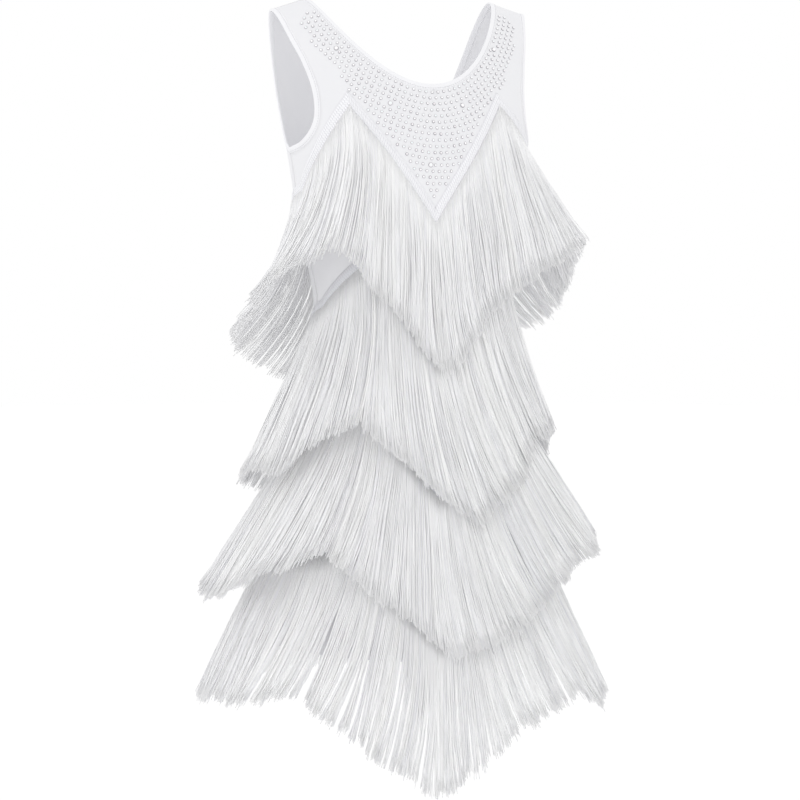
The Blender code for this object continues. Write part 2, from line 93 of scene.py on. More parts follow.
def mesh_object(name: str, points: Array, faces: list[Array], smooth: bool = True) -> bpy.types.Object:
    """Make an object from arrays.

    Args:
        name: the object's name.
        points: vertex places in millimetres, one row each.
        faces: arrays of vertex numbers, each of one face size.
        smooth: whether the faces are shaded smooth.

    Returns:
        The object, at the origin, in the scene's collection.
    """
    data = bpy.data.meshes.new(name)
    corners = np.concatenate([block.ravel() for block in faces]).astype(np.int32)
    sizes = np.concatenate([np.full(len(block), block.shape[1], np.int32) for block in faces])
    starts = np.concatenate([[0], np.cumsum(sizes)[:-1]]).astype(np.int32)
    data.vertices.add(len(points))
    data.vertices.foreach_set("co", (points * MM).astype(np.float32).ravel())
    data.loops.add(len(corners))
    data.loops.foreach_set("vertex_index", corners)
    data.polygons.add(len(sizes))
    data.polygons.foreach_set("loop_start", starts)
    data.polygons.foreach_set("use_smooth", np.full(len(sizes), smooth))
    data.update(calc_edges=True)
    data.validate()
    result = bpy.data.objects.new(name, data)
    bpy.context.scene.collection.objects.link(result)
    return result


def add_uv(piece: bpy.types.Object, places: Array) -> None:
    """Give a piece a UV map in metres of cloth.

    Args:
        piece: the object.
        places: U and V of each vertex in millimetres.
    """
    numbers = np.empty(len(piece.data.loops), np.int32)
    piece.data.loops.foreach_get("vertex_index", numbers)
    layer = piece.data.uv_layers.new(name="cloth")
    layer.data.foreach_set("uv", (places[numbers] * MM).astype(np.float32).ravel())


def add_tint(piece: bpy.types.Object, values: Array) -> None:
    """Give each vertex of a piece a shade from 0 to 1."""
    attribute = piece.data.attributes.new("tint", "FLOAT", "POINT")
    attribute.data.foreach_set("value", values.astype(np.float32))


def grid_faces(rows: int, columns: int, wrap_rows: bool = False, wrap_columns: bool = False) -> Array:
    """Quads over a grid of vertices numbered row by row.

    Args:
        rows: rows of vertices.
        columns: vertices in a row.
        wrap_rows: whether the last row joins the first.
        wrap_columns: whether the last column joins the first.

    Returns:
        Four vertex numbers for each quad.
    """
    row = np.arange(rows if wrap_rows else rows - 1)[:, None]
    column = np.arange(columns if wrap_columns else columns - 1)[None, :]
    next_row = (row + 1) % rows
    next_column = (column + 1) % columns
    corners = (
        row * columns + column,
        next_row * columns + column,
        next_row * columns + next_column,
        row * columns + next_column,
    )
    return np.stack(np.broadcast_arrays(*corners), axis=-1).reshape(-1, 4)


# ---------------------------------------------------------------- the form of the dress

@dataclass(frozen=True)
class Section:
    """A level section of the dress: an ellipse with unequal front and back."""

    height: float
    half_width: float
    front: float
    back: float
    centre_x: float
    centre_y: float


@dataclass(frozen=True)
class DressForm:
    """The outside of the cloth as it is worn."""

    sections: tuple[Section, ...] = (
        Section(-960.0, 236.0, 180.0, 180.0, -2.0, -8.0),
        Section(-760.0, 195.0, 150.0, 150.0, -1.0, -10.0),
        Section(-620.0, 162.0, 124.0, 128.0, 2.0, -14.0),
        Section(-490.0, 133.0, 106.0, 110.0, 4.0, -18.0),
        Section(-350.0, 114.0, 88.0, 84.0, 4.0, -24.0),
        Section(-250.0, 132.0, 97.0, 84.0, 4.0, -20.0),
        Section(-178.0, 143.0, 97.0, 86.0, 5.0, -16.0),
        Section(-90.0, 157.0, 96.0, 88.0, 4.0, -7.0),
        Section(0.0, 168.0, 95.0, 88.0, 0.0, 0.0),
    )
    neck_half: float = 112.0
    underarm: float = -178.0
    yoke_rise: float = 200.0
    strap_fall: float = 0.30
    shoulder_curve: float = 1.8
    degree_length: float = 2.4      # millimetres of cloth for a degree, near enough for small parts

    @cached_property
    def heights(self) -> Array:
        """Heights of the sections, lowest first."""
        return np.array([row.height for row in self.sections])

    @cached_property
    def columns(self) -> Array:
        """Half width, front, back, centre X and centre Y of the sections, a row for each."""
        names = ("half_width", "front", "back", "centre_x", "centre_y")
        return np.array([[getattr(row, name) for row in self.sections] for name in names])

    @cached_property
    def slopes(self) -> Array:
        """Slopes, at the sections, of curves through them that never overshoot.

        Returns:
            A row for each column of the sections.
        """
        steps = np.diff(self.columns) / np.diff(self.heights)
        before, after = steps[:, :-1], steps[:, 1:]
        product = before * after
        total = np.where(product > 0.0, before + after, 1.0)
        inner = np.where(product > 0.0, 2.0 * product / total, 0.0)
        return np.concatenate([steps[:, :1], inner, steps[:, -1:]], axis=1)

    @property
    def top(self) -> float:
        """Height of the shoulder seam on the pattern."""
        return self.underarm + self.yoke_rise

    def section(self, height: Array) -> Array:
        """The dress's level sections between those of its table.

        Args:
            height: heights above the origin.

        Returns:
            Half width, front, back, centre X and centre Y at each height.
        """
        height = np.asarray(height, float)
        row = np.clip(np.searchsorted(self.heights[1:], height), 0, len(self.heights) - 2)
        span = self.heights[row + 1] - self.heights[row]
        t = np.clip((height - self.heights[row]) / span, 0.0, 1.0)
        start = (1.0 + 2.0 * t) * (1.0 - t) ** 2
        end = t * t * (3.0 - 2.0 * t)
        rise = t * (1.0 - t) ** 2
        fall = t * t * (t - 1.0)
        values = start * self.columns[:, row] + end * self.columns[:, row + 1]
        return values + span * (rise * self.slopes[:, row] + fall * self.slopes[:, row + 1])

    def ridge(self, angle: Array) -> Array:
        """Height of the shoulder seam above some angles."""
        across = np.abs(self.sections[-1].half_width * np.sin(np.radians(angle)))
        return -self.strap_fall * np.maximum(across - self.neck_half, 0.0)

    def pattern_height(self, angle: Array, height: Array) -> Array:
        """Where points of the dress lie on the flat pattern.

        Args:
            angle: degrees round the body.
            height: heights above the origin.

        Returns:
            Their heights on the pattern.
        """
        share = np.clip((height - self.underarm) / (self.ridge(angle) - self.underarm), 0.0, 1.0)
        above = self.underarm + self.yoke_rise * np.arcsin(share) * 2.0 / math.pi
        return np.where(height > self.underarm, above, height)

    def surface(self, angle: Array, pattern: Array) -> Array:
        """Points on the outside of the cloth.

        Args:
            angle: degrees round the body.
            pattern: heights on the pattern.

        Returns:
            X, Y and Z of each point.
        """
        angle, pattern = np.broadcast_arrays(np.asarray(angle, float), np.asarray(pattern, float))
        up = np.clip((pattern - self.underarm) / self.yoke_rise, 0.0, 1.0)
        share = np.sin(up * math.pi / 2.0)
        yoke = self.underarm + (self.ridge(angle) - self.underarm) * share
        height = np.where(pattern > self.underarm, yoke, pattern)
        half_width, front, back, centre_x, centre_y = self.section(height)
        lean = np.maximum(0.0, 1.0 - share ** self.shoulder_curve) ** (1.0 / self.shoulder_curve)
        turn = np.radians(angle)
        depth = np.where(np.cos(turn) >= 0.0, front, back)
        x = centre_x + half_width * np.sin(turn)
        y = centre_y - depth * np.cos(turn) * lean
        return np.stack([x, y, height], axis=-1)

    def normal(self, angle: Array, pattern: Array) -> Array:
        """Directions out of the cloth.

        Args:
            angle: degrees round the body.
            pattern: heights on the pattern.

        Returns:
            A direction of length 1 for each place.
        """
        around = self.surface(angle + 0.2, pattern) - self.surface(angle - 0.2, pattern)
        up = self.surface(angle, pattern + 0.5) - self.surface(angle, pattern - 0.5)
        return normalised(np.cross(around, up))

    def per_degree(self, angle: Array, pattern: Array) -> Array:
        """Cloth round the body for one degree."""
        span = self.surface(angle + 0.5, pattern) - self.surface(angle - 0.5, pattern)
        return np.linalg.norm(span, axis=-1)

    def per_rise(self, angle: Array, pattern: Array) -> Array:
        """Cloth up the body for one millimetre of the pattern's height."""
        span = self.surface(angle, pattern + 0.5) - self.surface(angle, pattern - 0.5)
        return np.linalg.norm(span, axis=-1)

    def lengths(self, places: Array) -> Array:
        """Length of cloth from the first of some (angle, pattern) places to each of them."""
        points = self.surface(places[:, 0], places[:, 1])
        return np.concatenate([[0.0], np.cumsum(np.linalg.norm(np.diff(points, axis=0), axis=1))])

    def along(self, places: Array, shares: Array) -> Array:
        """Places part of the way along a run of places, by length of cloth.

        Args:
            places: (angle, pattern) of the run.
            shares: how far along, from 0 to 1.

        Returns:
            The places, a row for each share.
        """
        lengths = self.lengths(places)
        target = np.asarray(shares) * lengths[-1]
        return np.stack([np.interp(target, lengths, places[:, k]) for k in (0, 1)], axis=1)

    def moved_in(self, places: Array, distance: float, hand: int, steps: int = 5) -> Array:
        """An edge moved into the cloth.

        Args:
            places: (angle, pattern) of the edge's points, from a seam to a centre or a seam.
            distance: how far, in millimetres.
            hand: 1 where the cloth is on the right of the edge, or -1.
            steps: the move is made in short steps.

        Returns:
            The moved places.
        """
        angle, pattern = places[:, 0].copy(), places[:, 1].copy()
        before = np.concatenate([places[:1], places[:-1]])
        after = np.concatenate([places[1:], places[-1:]])
        across = (after[:, 0] - before[:, 0]) * self.per_degree(angle, pattern)
        up = (after[:, 1] - before[:, 1]) * self.per_rise(angle, pattern)
        across[0] = 0.0
        up[-1] = 0.0
        size = np.hypot(across, up)
        for _ in range(steps):
            turn = hand * up / size * distance / steps / self.per_degree(angle, pattern)
            rise = hand * across / size * distance / steps / self.per_rise(angle, pattern)
            angle, pattern = angle + turn, np.minimum(pattern - rise, self.top)
        pattern[0] = self.top
        return np.stack([angle, pattern], axis=1)


@dataclass(frozen=True)
class EdgePoint:
    """A place on the cut edge of an armhole."""

    from_centre: float      # degrees
    height: float


@dataclass(frozen=True)
class Cut:
    """How a panel is cut, the same on both halves."""

    centre: float                   # angle of the panel's middle
    neck_depth: float
    neck_power: float               # 2 for a round neck, more for a squarer one
    armhole: tuple[EdgePoint, ...]  # from the shoulder to the side seam
    strap_rows: int                 # of mesh, from the shoulder to the foot of the neck
    strap_share: float              # of the armhole's edge that they reach
    underarm_rows: int
    edge_samples: int = 240

    def neck_edge(self, form: DressForm, shares: Array) -> Array:
        """Cut edge of half a neck, from the shoulder on the side of larger angles to the centre.

        Args:
            form: the form of the dress.
            shares: how far along the edge, from 0 to 1.

        Returns:
            (angle, pattern) at each share.
        """
        top_angle = math.degrees(math.asin(form.neck_half / form.sections[-1].half_width))
        share = 1.0 - np.arange(self.edge_samples + 1) / self.edge_samples
        angle = self.centre + share * top_angle
        pattern = form.pattern_height(angle, self.neck_depth * (share ** self.neck_power - 1.0))
        pattern[0] = form.top
        return form.along(np.stack([angle, pattern], axis=1), shares)

    def armhole_edge(self, form: DressForm, shares: Array) -> Array:
        """Cut edge of the armhole on the side of larger angles, from the shoulder down.

        Args:
            form: the form of the dress.
            shares: how far along the edge, from 0 to 1.

        Returns:
            (angle, pattern) at each share.
        """
        angles = np.array([self.centre + row.from_centre for row in self.armhole])
        heights = np.array([row.height for row in self.armhole])
        knots = np.stack([angles, form.pattern_height(angles, heights)], axis=1)
        knots[0, 1] = form.top
        padded = np.concatenate([knots[:1], knots, knots[-1:]])
        spans = len(knots) - 1
        samples = self.edge_samples // spans
        t = (np.arange(samples) / samples)[:, None]
        points = []             # a smooth curve through the knots, span by span
        for span in range(spans):
            p, q, r, s = padded[span:span + 4]
            points.append(0.5 * (
                2.0 * q + (r - p) * t + (2.0 * p - 5.0 * q + 4.0 * r - s) * t ** 2
                + (3.0 * q - p - 3.0 * r + s) * t ** 3
            ))
        return form.along(np.concatenate([*points, knots[-1:]]), shares)

    def mirrored(self, places: Array) -> Array:
        """The same places on the other half of the panel."""
        return np.stack([2.0 * self.centre - places[..., 0], places[..., 1]], axis=-1)

    def neck_shares(self) -> Array:
        """Where the rows of mesh meet the neck edge."""
        return np.linspace(0.0, 1.0, self.strap_rows + 1)

    def armhole_shares(self) -> Array:
        """Where the rows of mesh meet the armhole edge."""
        upper = self.strap_share * np.linspace(0.0, 1.0, self.strap_rows + 1)
        return np.concatenate([upper, np.linspace(self.strap_share, 1.0, self.underarm_rows + 1)[1:]])


FRONT_CUT = Cut(
    centre=0.0, neck_depth=97.0, neck_power=2.05, strap_rows=36, strap_share=0.62, underarm_rows=20,
    armhole=(
        EdgePoint(71.0, 0.0),
        EdgePoint(64.5, -40.0),
        EdgePoint(59.0, -75.0),
        EdgePoint(57.0, -108.0),
        EdgePoint(61.0, -139.0),
        EdgePoint(73.0, -160.0),
        EdgePoint(90.0, -168.0),
    ),
)
BACK_CUT = Cut(
    centre=180.0, neck_depth=180.0, neck_power=3.0, strap_rows=56, strap_share=1.0, underarm_rows=0,
    armhole=(
        EdgePoint(71.0, 0.0),
        EdgePoint(73.0, -40.0),
        EdgePoint(75.0, -75.0),
        EdgePoint(77.0, -108.0),
        EdgePoint(79.5, -138.0),
        EdgePoint(83.5, -159.0),
        EdgePoint(90.0, -168.0),
    ),
)


# ---------------------------------------------------------------- finishes

def linear(code: str) -> tuple[float, float, float, float]:
    """An sRGB hex colour as linear red, green, blue and alpha."""
    channels = [int(code[i:i + 2], 16) / 255.0 for i in (1, 3, 5)]
    return (*[c / 12.92 if c <= 0.04045 else ((c + 0.055) / 1.055) ** 2.4 for c in channels], 1.0)


def wave_scale(pitch: float) -> float:
    """Scale of a Wave texture whose bands are a pitch in millimetres apart, on metres."""
    return math.pi / 10.0 / (pitch * MM)


def new_material(name: str) -> tuple[bpy.types.Material, bpy.types.Node]:
    """Add a material with nodes.

    Args:
        name: its name.

    Returns:
        The material and its shader.
    """
    material = bpy.data.materials.new(name)
    material.use_nodes = True
    return material, material.node_tree.nodes["Principled BSDF"]


def add_node(
    material: bpy.types.Material,
    kind: str,
    settings: dict[str, object],
    values: dict[str, object],
    links: dict[str, bpy.types.NodeSocket],
) -> bpy.types.Node:
    """Add a node to a material.

    Args:
        material: the material.
        kind: the node's type.
        settings: the node's own choices.
        values: numbers and colours for its inputs.
        links: outputs that feed its inputs.

    Returns:
        The node.
    """
    node = material.node_tree.nodes.new(kind)
    for name, value in settings.items():
        setattr(node, name, value)
    for name, value in values.items():
        node.inputs[name].default_value = value
    for name, source in links.items():
        material.node_tree.links.new(source, node.inputs[name])
    return node


def completed(
    material: bpy.types.Material,
    shader: bpy.types.Node,
    links: dict[str, bpy.types.NodeSocket],
    values: dict[str, object],
) -> bpy.types.Material:
    """Finish a material at its shader.

    Args:
        material: the material.
        shader: its shader.
        links: outputs that feed the shader's sockets.
        values: numbers and colours that are the same all over the surface.

    Returns:
        The material.
    """
    for name, value in values.items():
        shader.inputs[name].default_value = value
    for name, source in links.items():
        material.node_tree.links.new(source, shader.inputs[name])
    return material


@dataclass(frozen=True)
class StretchKnit:
    """Warp-knit nylon and elastane, dyed white and brushed: matt, with a faint soft sheen."""

    name: str = "white_stretch_knit"
    shade: str = "#D9D9DC"
    shade_light: str = "#DEDEE0"
    roughness: float = 0.78
    sheen: float = 0.2
    sheen_roughness: float = 0.45
    glow: float = 0.155         # painted light: the cloth glows faintly, which lifts its shaded parts
    wale: float = 1.3           # real wales are about 0.5 mm apart, drawn coarser so that they show
    mottle: float = 34.0
    relief: float = 0.10

    def make(self) -> bpy.types.Material:
        """Build the material on the piece's UV map.

        Returns:
            The material.
        """
        material, shader = new_material(self.name)
        cloth = add_node(material, "ShaderNodeUVMap", {"uv_map": "cloth"}, {}, {}).outputs["UV"]
        wales = add_node(
            material, "ShaderNodeTexWave", {"wave_type": "BANDS", "bands_direction": "X"},
            {"Scale": wave_scale(self.wale), "Distortion": 1.2, "Detail": 1.0, "Detail Scale": 2.0},
            {"Vector": cloth},
        )
        cloud = add_node(
            material, "ShaderNodeTexNoise", {}, {"Scale": 1.0 / (self.mottle * MM), "Detail": 3.0},
            {"Vector": cloth},
        )
        colour = add_node(material, "ShaderNodeValToRGB", {}, {}, {"Fac": cloud.outputs["Fac"]})
        colour.color_ramp.elements[0].color = linear(self.shade)
        colour.color_ramp.elements[1].color = linear(self.shade_light)
        bump = add_node(
            material, "ShaderNodeBump", {}, {"Strength": self.relief, "Distance": 0.25 * MM},
            {"Height": wales.outputs["Fac"]},
        )
        links = {"Base Color": colour.outputs["Color"], "Normal": bump.outputs["Normal"]}
        return completed(material, shader, links, {
            "Roughness": self.roughness, "Specular IOR Level": 0.3,
            "Sheen Weight": self.sheen, "Sheen Roughness": self.sheen_roughness,
            "Emission Color": linear(self.shade_light), "Emission Strength": self.glow,
        })


@dataclass(frozen=True)
class Chainette:
    """Chainette of bright white viscose: fine twisted cords with a silky lustre along them."""

    name: str = "white_chainette_yarn"
    # painted shade: the braid is coloured darker in the hollows between its stitches and lighter on their
    # tops
    stitch_hollow_painted_shade: str = "#C4C4CA"
    stitch_top_painted_light: str = "#EAEAED"
    shade: str = "#F1F1F4"
    shade_light: str = "#FCFCFC"
    roughness: float = 0.5
    sheen: float = 0.15
    glow: float = 0.07          # painted light: the yarn glows faintly, which lifts its shaded parts
    twist: float = 1.6          # the chain's stitches are about 1 mm, drawn coarser so that they show
    relief: float = 0.35

    def make(self) -> bpy.types.Material:
        """Build the material: a shade for each strand, and its twist on the UV map.

        Returns:
            The material.
        """
        material, shader = new_material(self.name)
        cloth = add_node(material, "ShaderNodeUVMap", {"uv_map": "cloth"}, {}, {}).outputs["UV"]
        tint = add_node(material, "ShaderNodeAttribute", {"attribute_name": "tint"}, {}, {}).outputs["Fac"]
        colour = add_node(material, "ShaderNodeValToRGB", {}, {}, {"Fac": tint})
        colour.color_ramp.elements[0].color = linear(self.stitch_hollow_painted_shade)
        colour.color_ramp.elements[1].color = linear(self.shade_light)
        for place, shade in ((0.2, self.stitch_top_painted_light), (0.25, self.shade)):
            colour.color_ramp.elements.new(place).color = linear(shade)
        twist = add_node(
            material, "ShaderNodeTexWave", {"wave_type": "BANDS", "bands_direction": "DIAGONAL"},
            {"Scale": wave_scale(self.twist), "Distortion": 0.4}, {"Vector": cloth},
        )
        bump = add_node(
            material, "ShaderNodeBump", {}, {"Strength": self.relief, "Distance": 0.2 * MM},
            {"Height": twist.outputs["Fac"]},
        )
        links = {"Base Color": colour.outputs["Color"], "Normal": bump.outputs["Normal"]}
        return completed(material, shader, links, {
            "Roughness": self.roughness, "Sheen Weight": self.sheen, "Specular IOR Level": 0.4,
            "Emission Color": linear(self.shade_light), "Emission Strength": self.glow,
        })


@dataclass(frozen=True)
class SewingThread:
    """Spun polyester sewing thread, pulled into the cloth, a little glossier than the knit: white, but
    coloured grey as painted shade of the groove that it lies in.
    """

    name: str = "white_sewing_thread"
    # greyer than white thread: painted shade of the groove along the seam
    shade: str = "#D2D2D6"
    roughness: float = 0.6
    ply: float = 0.5
    relief: float = 0.3

    def make(self) -> bpy.types.Material:
        """Build the material, with the thread's ply on Object coordinates.

        Returns:
            The material.
        """
        material, shader = new_material(self.name)
        place = add_node(material, "ShaderNodeTexCoord", {}, {}, {}).outputs["Object"]
        ply = add_node(
            material, "ShaderNodeTexWave", {"wave_type": "BANDS", "bands_direction": "DIAGONAL"},
            {"Scale": wave_scale(self.ply), "Distortion": 1.0}, {"Vector": place},
        )
        bump = add_node(
            material, "ShaderNodeBump", {}, {"Strength": self.relief, "Distance": 0.1 * MM},
            {"Height": ply.outputs["Fac"]},
        )
        return completed(material, shader, {"Normal": bump.outputs["Normal"]}, {
            "Base Color": linear(self.shade), "Roughness": self.roughness,
        })


@dataclass(frozen=True)
class Rhinestone:
    """Foil-backed glass crystal with an iridescent coat: bright facets, tinged cyan or rose."""

    name: str = "foil_backed_crystal"
    girdle: str = "#85888F"     # painted shade: the stone's edge is coloured dark grey, as real glass looks dark where light leaves it sideways
    rose: str = "#F6F0F3"
    clear: str = "#FBFBFC"
    cyan: str = "#EAF5F6"
    roughness: float = 0.25
    metallic: float = 0.15      # the foil behind the glass
    coat: float = 0.4

    def make(self) -> bpy.types.Material:
        """Build the material, tinged for each stone.

        Returns:
            The material.
        """
        material, shader = new_material(self.name)
        tint = add_node(material, "ShaderNodeAttribute", {"attribute_name": "tint"}, {}, {}).outputs["Fac"]
        colour = add_node(material, "ShaderNodeValToRGB", {}, {}, {"Fac": tint})
        ramp = colour.color_ramp
        # painted shade: the girdle's dark grey starts the ramp
        ramp.elements[0].color = linear(self.girdle)
        ramp.elements[1].color = linear(self.cyan)
        for place, shade in ((0.4, self.rose), (0.5, self.clear), (0.8, self.clear)):
            ramp.elements.new(place).color = linear(shade)
        return completed(material, shader, {"Base Color": colour.outputs["Color"]}, {
            "Roughness": self.roughness, "Metallic": self.metallic,
            "Coat Weight": self.coat, "Coat Roughness": 0.03,
        })


@dataclass(frozen=True)
class StudioPaper:
    """Seamless white backdrop paper, lit so evenly that it shows as plain white."""

    name: str = "backdrop_paper"
    shade: str = "#FBFBFB"
    glow: float = 0.06
    grain: float = 3.0
    relief: float = 0.05

    def make(self) -> bpy.types.Material:
        """Build the material, with the paper's faint tooth.

        Returns:
            The material.
        """
        material, shader = new_material(self.name)
        place = add_node(material, "ShaderNodeTexCoord", {}, {}, {}).outputs["Object"]
        tooth = add_node(
            material, "ShaderNodeTexNoise", {}, {"Scale": 1.0 / (self.grain * MM)}, {"Vector": place},
        )
        bump = add_node(
            material, "ShaderNodeBump", {}, {"Strength": self.relief, "Distance": MM},
            {"Height": tooth.outputs["Fac"]},
        )
        return completed(material, shader, {"Normal": bump.outputs["Normal"]}, {
            "Base Color": linear(self.shade), "Roughness": 0.9,
            "Emission Color": linear(self.shade), "Emission Strength": self.glow,
        })


# ---------------------------------------------------------------- cloth

@dataclass(frozen=True)
class Crease:
    """A soft trough or ridge laid on the cloth as it lies."""

    angle: float            # of its middle
    pattern: float
    length: float
    lean: float             # degrees from upright, towards larger angles at its top
    width: float
    rise: float             # below 0 for a trough


def closed_shell(outer: Array, inner: Array, outer_faces: Array) -> tuple[Array, Array, Array]:
    """Join two skins round their open edges.

    Args:
        outer: places of the outer skin's vertices, one row each.
        inner: places of the inner skin's, in the same order.
        outer_faces: the outer skin's quads.

    Returns:
        The places that the faces use; the faces, both skins first and then the rim between them;
        and which of all the places were used.
    """
    edges = np.concatenate([outer_faces[:, [k, (k + 1) % 4]] for k in range(4)])
    _, first, uses = np.unique(np.sort(edges, axis=1), axis=0, return_index=True, return_counts=True)
    rim = edges[first[uses == 1]]
    count = len(outer)
    rim_faces = np.stack([rim[:, 1], rim[:, 0], rim[:, 0] + count, rim[:, 1] + count], axis=1)
    points = np.concatenate([outer, inner])
    faces = np.concatenate([outer_faces, outer_faces[:, ::-1] + count, rim_faces])
    used = np.unique(faces)
    renumber = np.zeros(len(points), np.int64)
    renumber[used] = np.arange(len(used))
    return points[used], renumber[faces], used


@dataclass
class Panel:
    """One panel of the dress in one with its half straps: a thin shell of knit."""

    name: str
    form: DressForm
    cut: Cut
    creases: tuple[Crease, ...]
    thickness: float = 1.0
    binding_width: float = 7.0
    edge_tuck: float = -0.4         # between the cloth's edge and the binding's, which hides it
    hem_centre: float = -740.0
    hem_side: float = -720.0
    hem_depth: float = 20.0
    hem_groove: float = 0.35        # along the hem's stitching
    hem_groove_width: float = 1.6
    seam_angle: float = 0.03        # from the side seam to the panel's edge
    seam_dip: float = 0.9           # the seam pulls the cloth in
    seam_reach: float = 2.5
    shoulder_drop: float = 0.08
    half_columns: int = 26
    skirt_rows: int = 64
    crease_taper: float = 1.5       # how sharply a crease fades towards its ends

    def places(self) -> tuple[Array, Array]:
        """Grid of places over the half of the panel on the side of larger angles.

        Returns:
            (angle, pattern) in rows from the shoulder to the hem, each from the panel's side edge to
            its centre or neck, and the distance of each place from the side seam.
        """
        cut, form = self.cut, self.form
        inset = self.binding_width + self.edge_tuck
        neck = form.moved_in(cut.neck_edge(form, cut.neck_shares()), inset, -1)
        armhole = form.moved_in(cut.armhole_edge(form, cut.armhole_shares()), inset, 1)
        seam = cut.centre + 90.0
        centre_rows = cut.underarm_rows + self.skirt_rows
        fall = np.arange(1, centre_rows + 1) / centre_rows
        bottom = neck[-1, 1]
        inner = np.concatenate([neck, np.stack([
            np.full(centre_rows, cut.centre), bottom + (self.hem_centre - bottom) * fall,
        ], axis=1)])
        fall = np.arange(1, self.skirt_rows + 1) / self.skirt_rows
        underarm = armhole[-1, 1]
        outer = np.concatenate([armhole[:-1], [[seam, underarm]], np.stack([
            np.full(self.skirt_rows, seam), underarm + (self.hem_side - underarm) * fall,
        ], axis=1)])
        share = (np.arange(self.half_columns + 1) / self.half_columns)[None, :]
        level = np.concatenate([np.ones(cut.strap_rows), np.linspace(1.0, 0.0, centre_rows + 1)])[:, None]
        eased = share + level * share * (1.0 - share)       # rows come level to the neck
        shares = np.stack(np.broadcast_arrays(share, eased), axis=2)
        half = outer[:, None, :] + (inner - outer)[:, None, :] * shares
        half[..., 0] = np.minimum(half[..., 0], seam - self.seam_angle)
        half[..., 1] = np.minimum(half[..., 1], form.top - self.shoulder_drop)
        return half, (seam - half[..., 0]) * form.degree_length

    def relief(self, angle: Array, pattern: Array) -> Array:
        """Height of the creases.

        Args:
            angle: degrees round the body.
            pattern: heights on the pattern.

        Returns:
            The height at each place.
        """
        total = np.zeros(np.broadcast(angle, pattern).shape)
        for crease in self.creases:
            across = (angle - crease.angle) * self.form.degree_length
            up = pattern - crease.pattern
            lean = math.radians(crease.lean)
            along = up * math.cos(lean) + across * math.sin(lean)
            aside = across * math.cos(lean) - up * math.sin(lean)
            fade = np.clip(1.0 - (2.0 * along / crease.length) ** 2, 0.0, 1.0) ** self.crease_taper
            total += crease.rise * fade * np.exp(-(aside / crease.width) ** 2)
        return total

    def proud(self, angle: Array, pattern: Array, seam_distance: Array) -> Array:
        """Height of the cloth's outside: its creases, the side seams' pull and the hem's groove.

        Args:
            angle: degrees round the body.
            pattern: heights on the pattern.
            seam_distance: millimetres of cloth from the nearest side seam.

        Returns:
            The height at each place.
        """
        dip = self.seam_dip * np.exp(-(seam_distance / self.seam_reach) ** 2)
        aside = np.abs(angle - self.cut.centre) / 90.0
        above_hem = pattern - self.hem_centre - (self.hem_side - self.hem_centre) * aside
        groove = self.hem_groove * np.exp(-((above_hem - self.hem_depth) / self.hem_groove_width) ** 2)
        return self.relief(angle, pattern) - dip - groove

    def build(self) -> bpy.types.Object:
        """Make the shell, with its UV map in the cloth's own length.

        Returns:
            The object.
        """
        half, seam_distance = self.places()
        rows, columns = half.shape[:2]
        angle, pattern = np.moveaxis(np.stack([half, self.cut.mirrored(half)]), -1, 0)
        proud = self.proud(angle, pattern, np.stack([seam_distance, seam_distance]))[..., None]
        points = self.form.surface(angle, pattern)
        normals = self.form.normal(angle, pattern)
        numbers = np.arange(2 * rows * columns).reshape(2, rows, columns)
        below_neck = slice(self.cut.strap_rows, None)
        numbers[1, below_neck, -1] = numbers[0, below_neck, -1]     # the halves share the centre line
        grid = grid_faces(rows, columns)
        outer_faces = np.concatenate([numbers[0].ravel()[grid][:, ::-1], numbers[1].ravel()[grid]])
        places, faces, used = closed_shell(
            (points + normals * proud).reshape(-1, 3),
            (points + normals * (proud - self.thickness)).reshape(-1, 3),
            outer_faces,
        )
        piece = mesh_object(self.name, places, [faces])
        in_skins = np.arange(len(faces)) < 2 * len(outer_faces)     # the rim is shaded flat
        piece.data.polygons.foreach_set("use_smooth", in_skins)
        cloth = np.stack([angle * self.form.degree_length, pattern], axis=-1).reshape(-1, 2)
        add_uv(piece, np.concatenate([cloth, cloth])[used])
        return piece


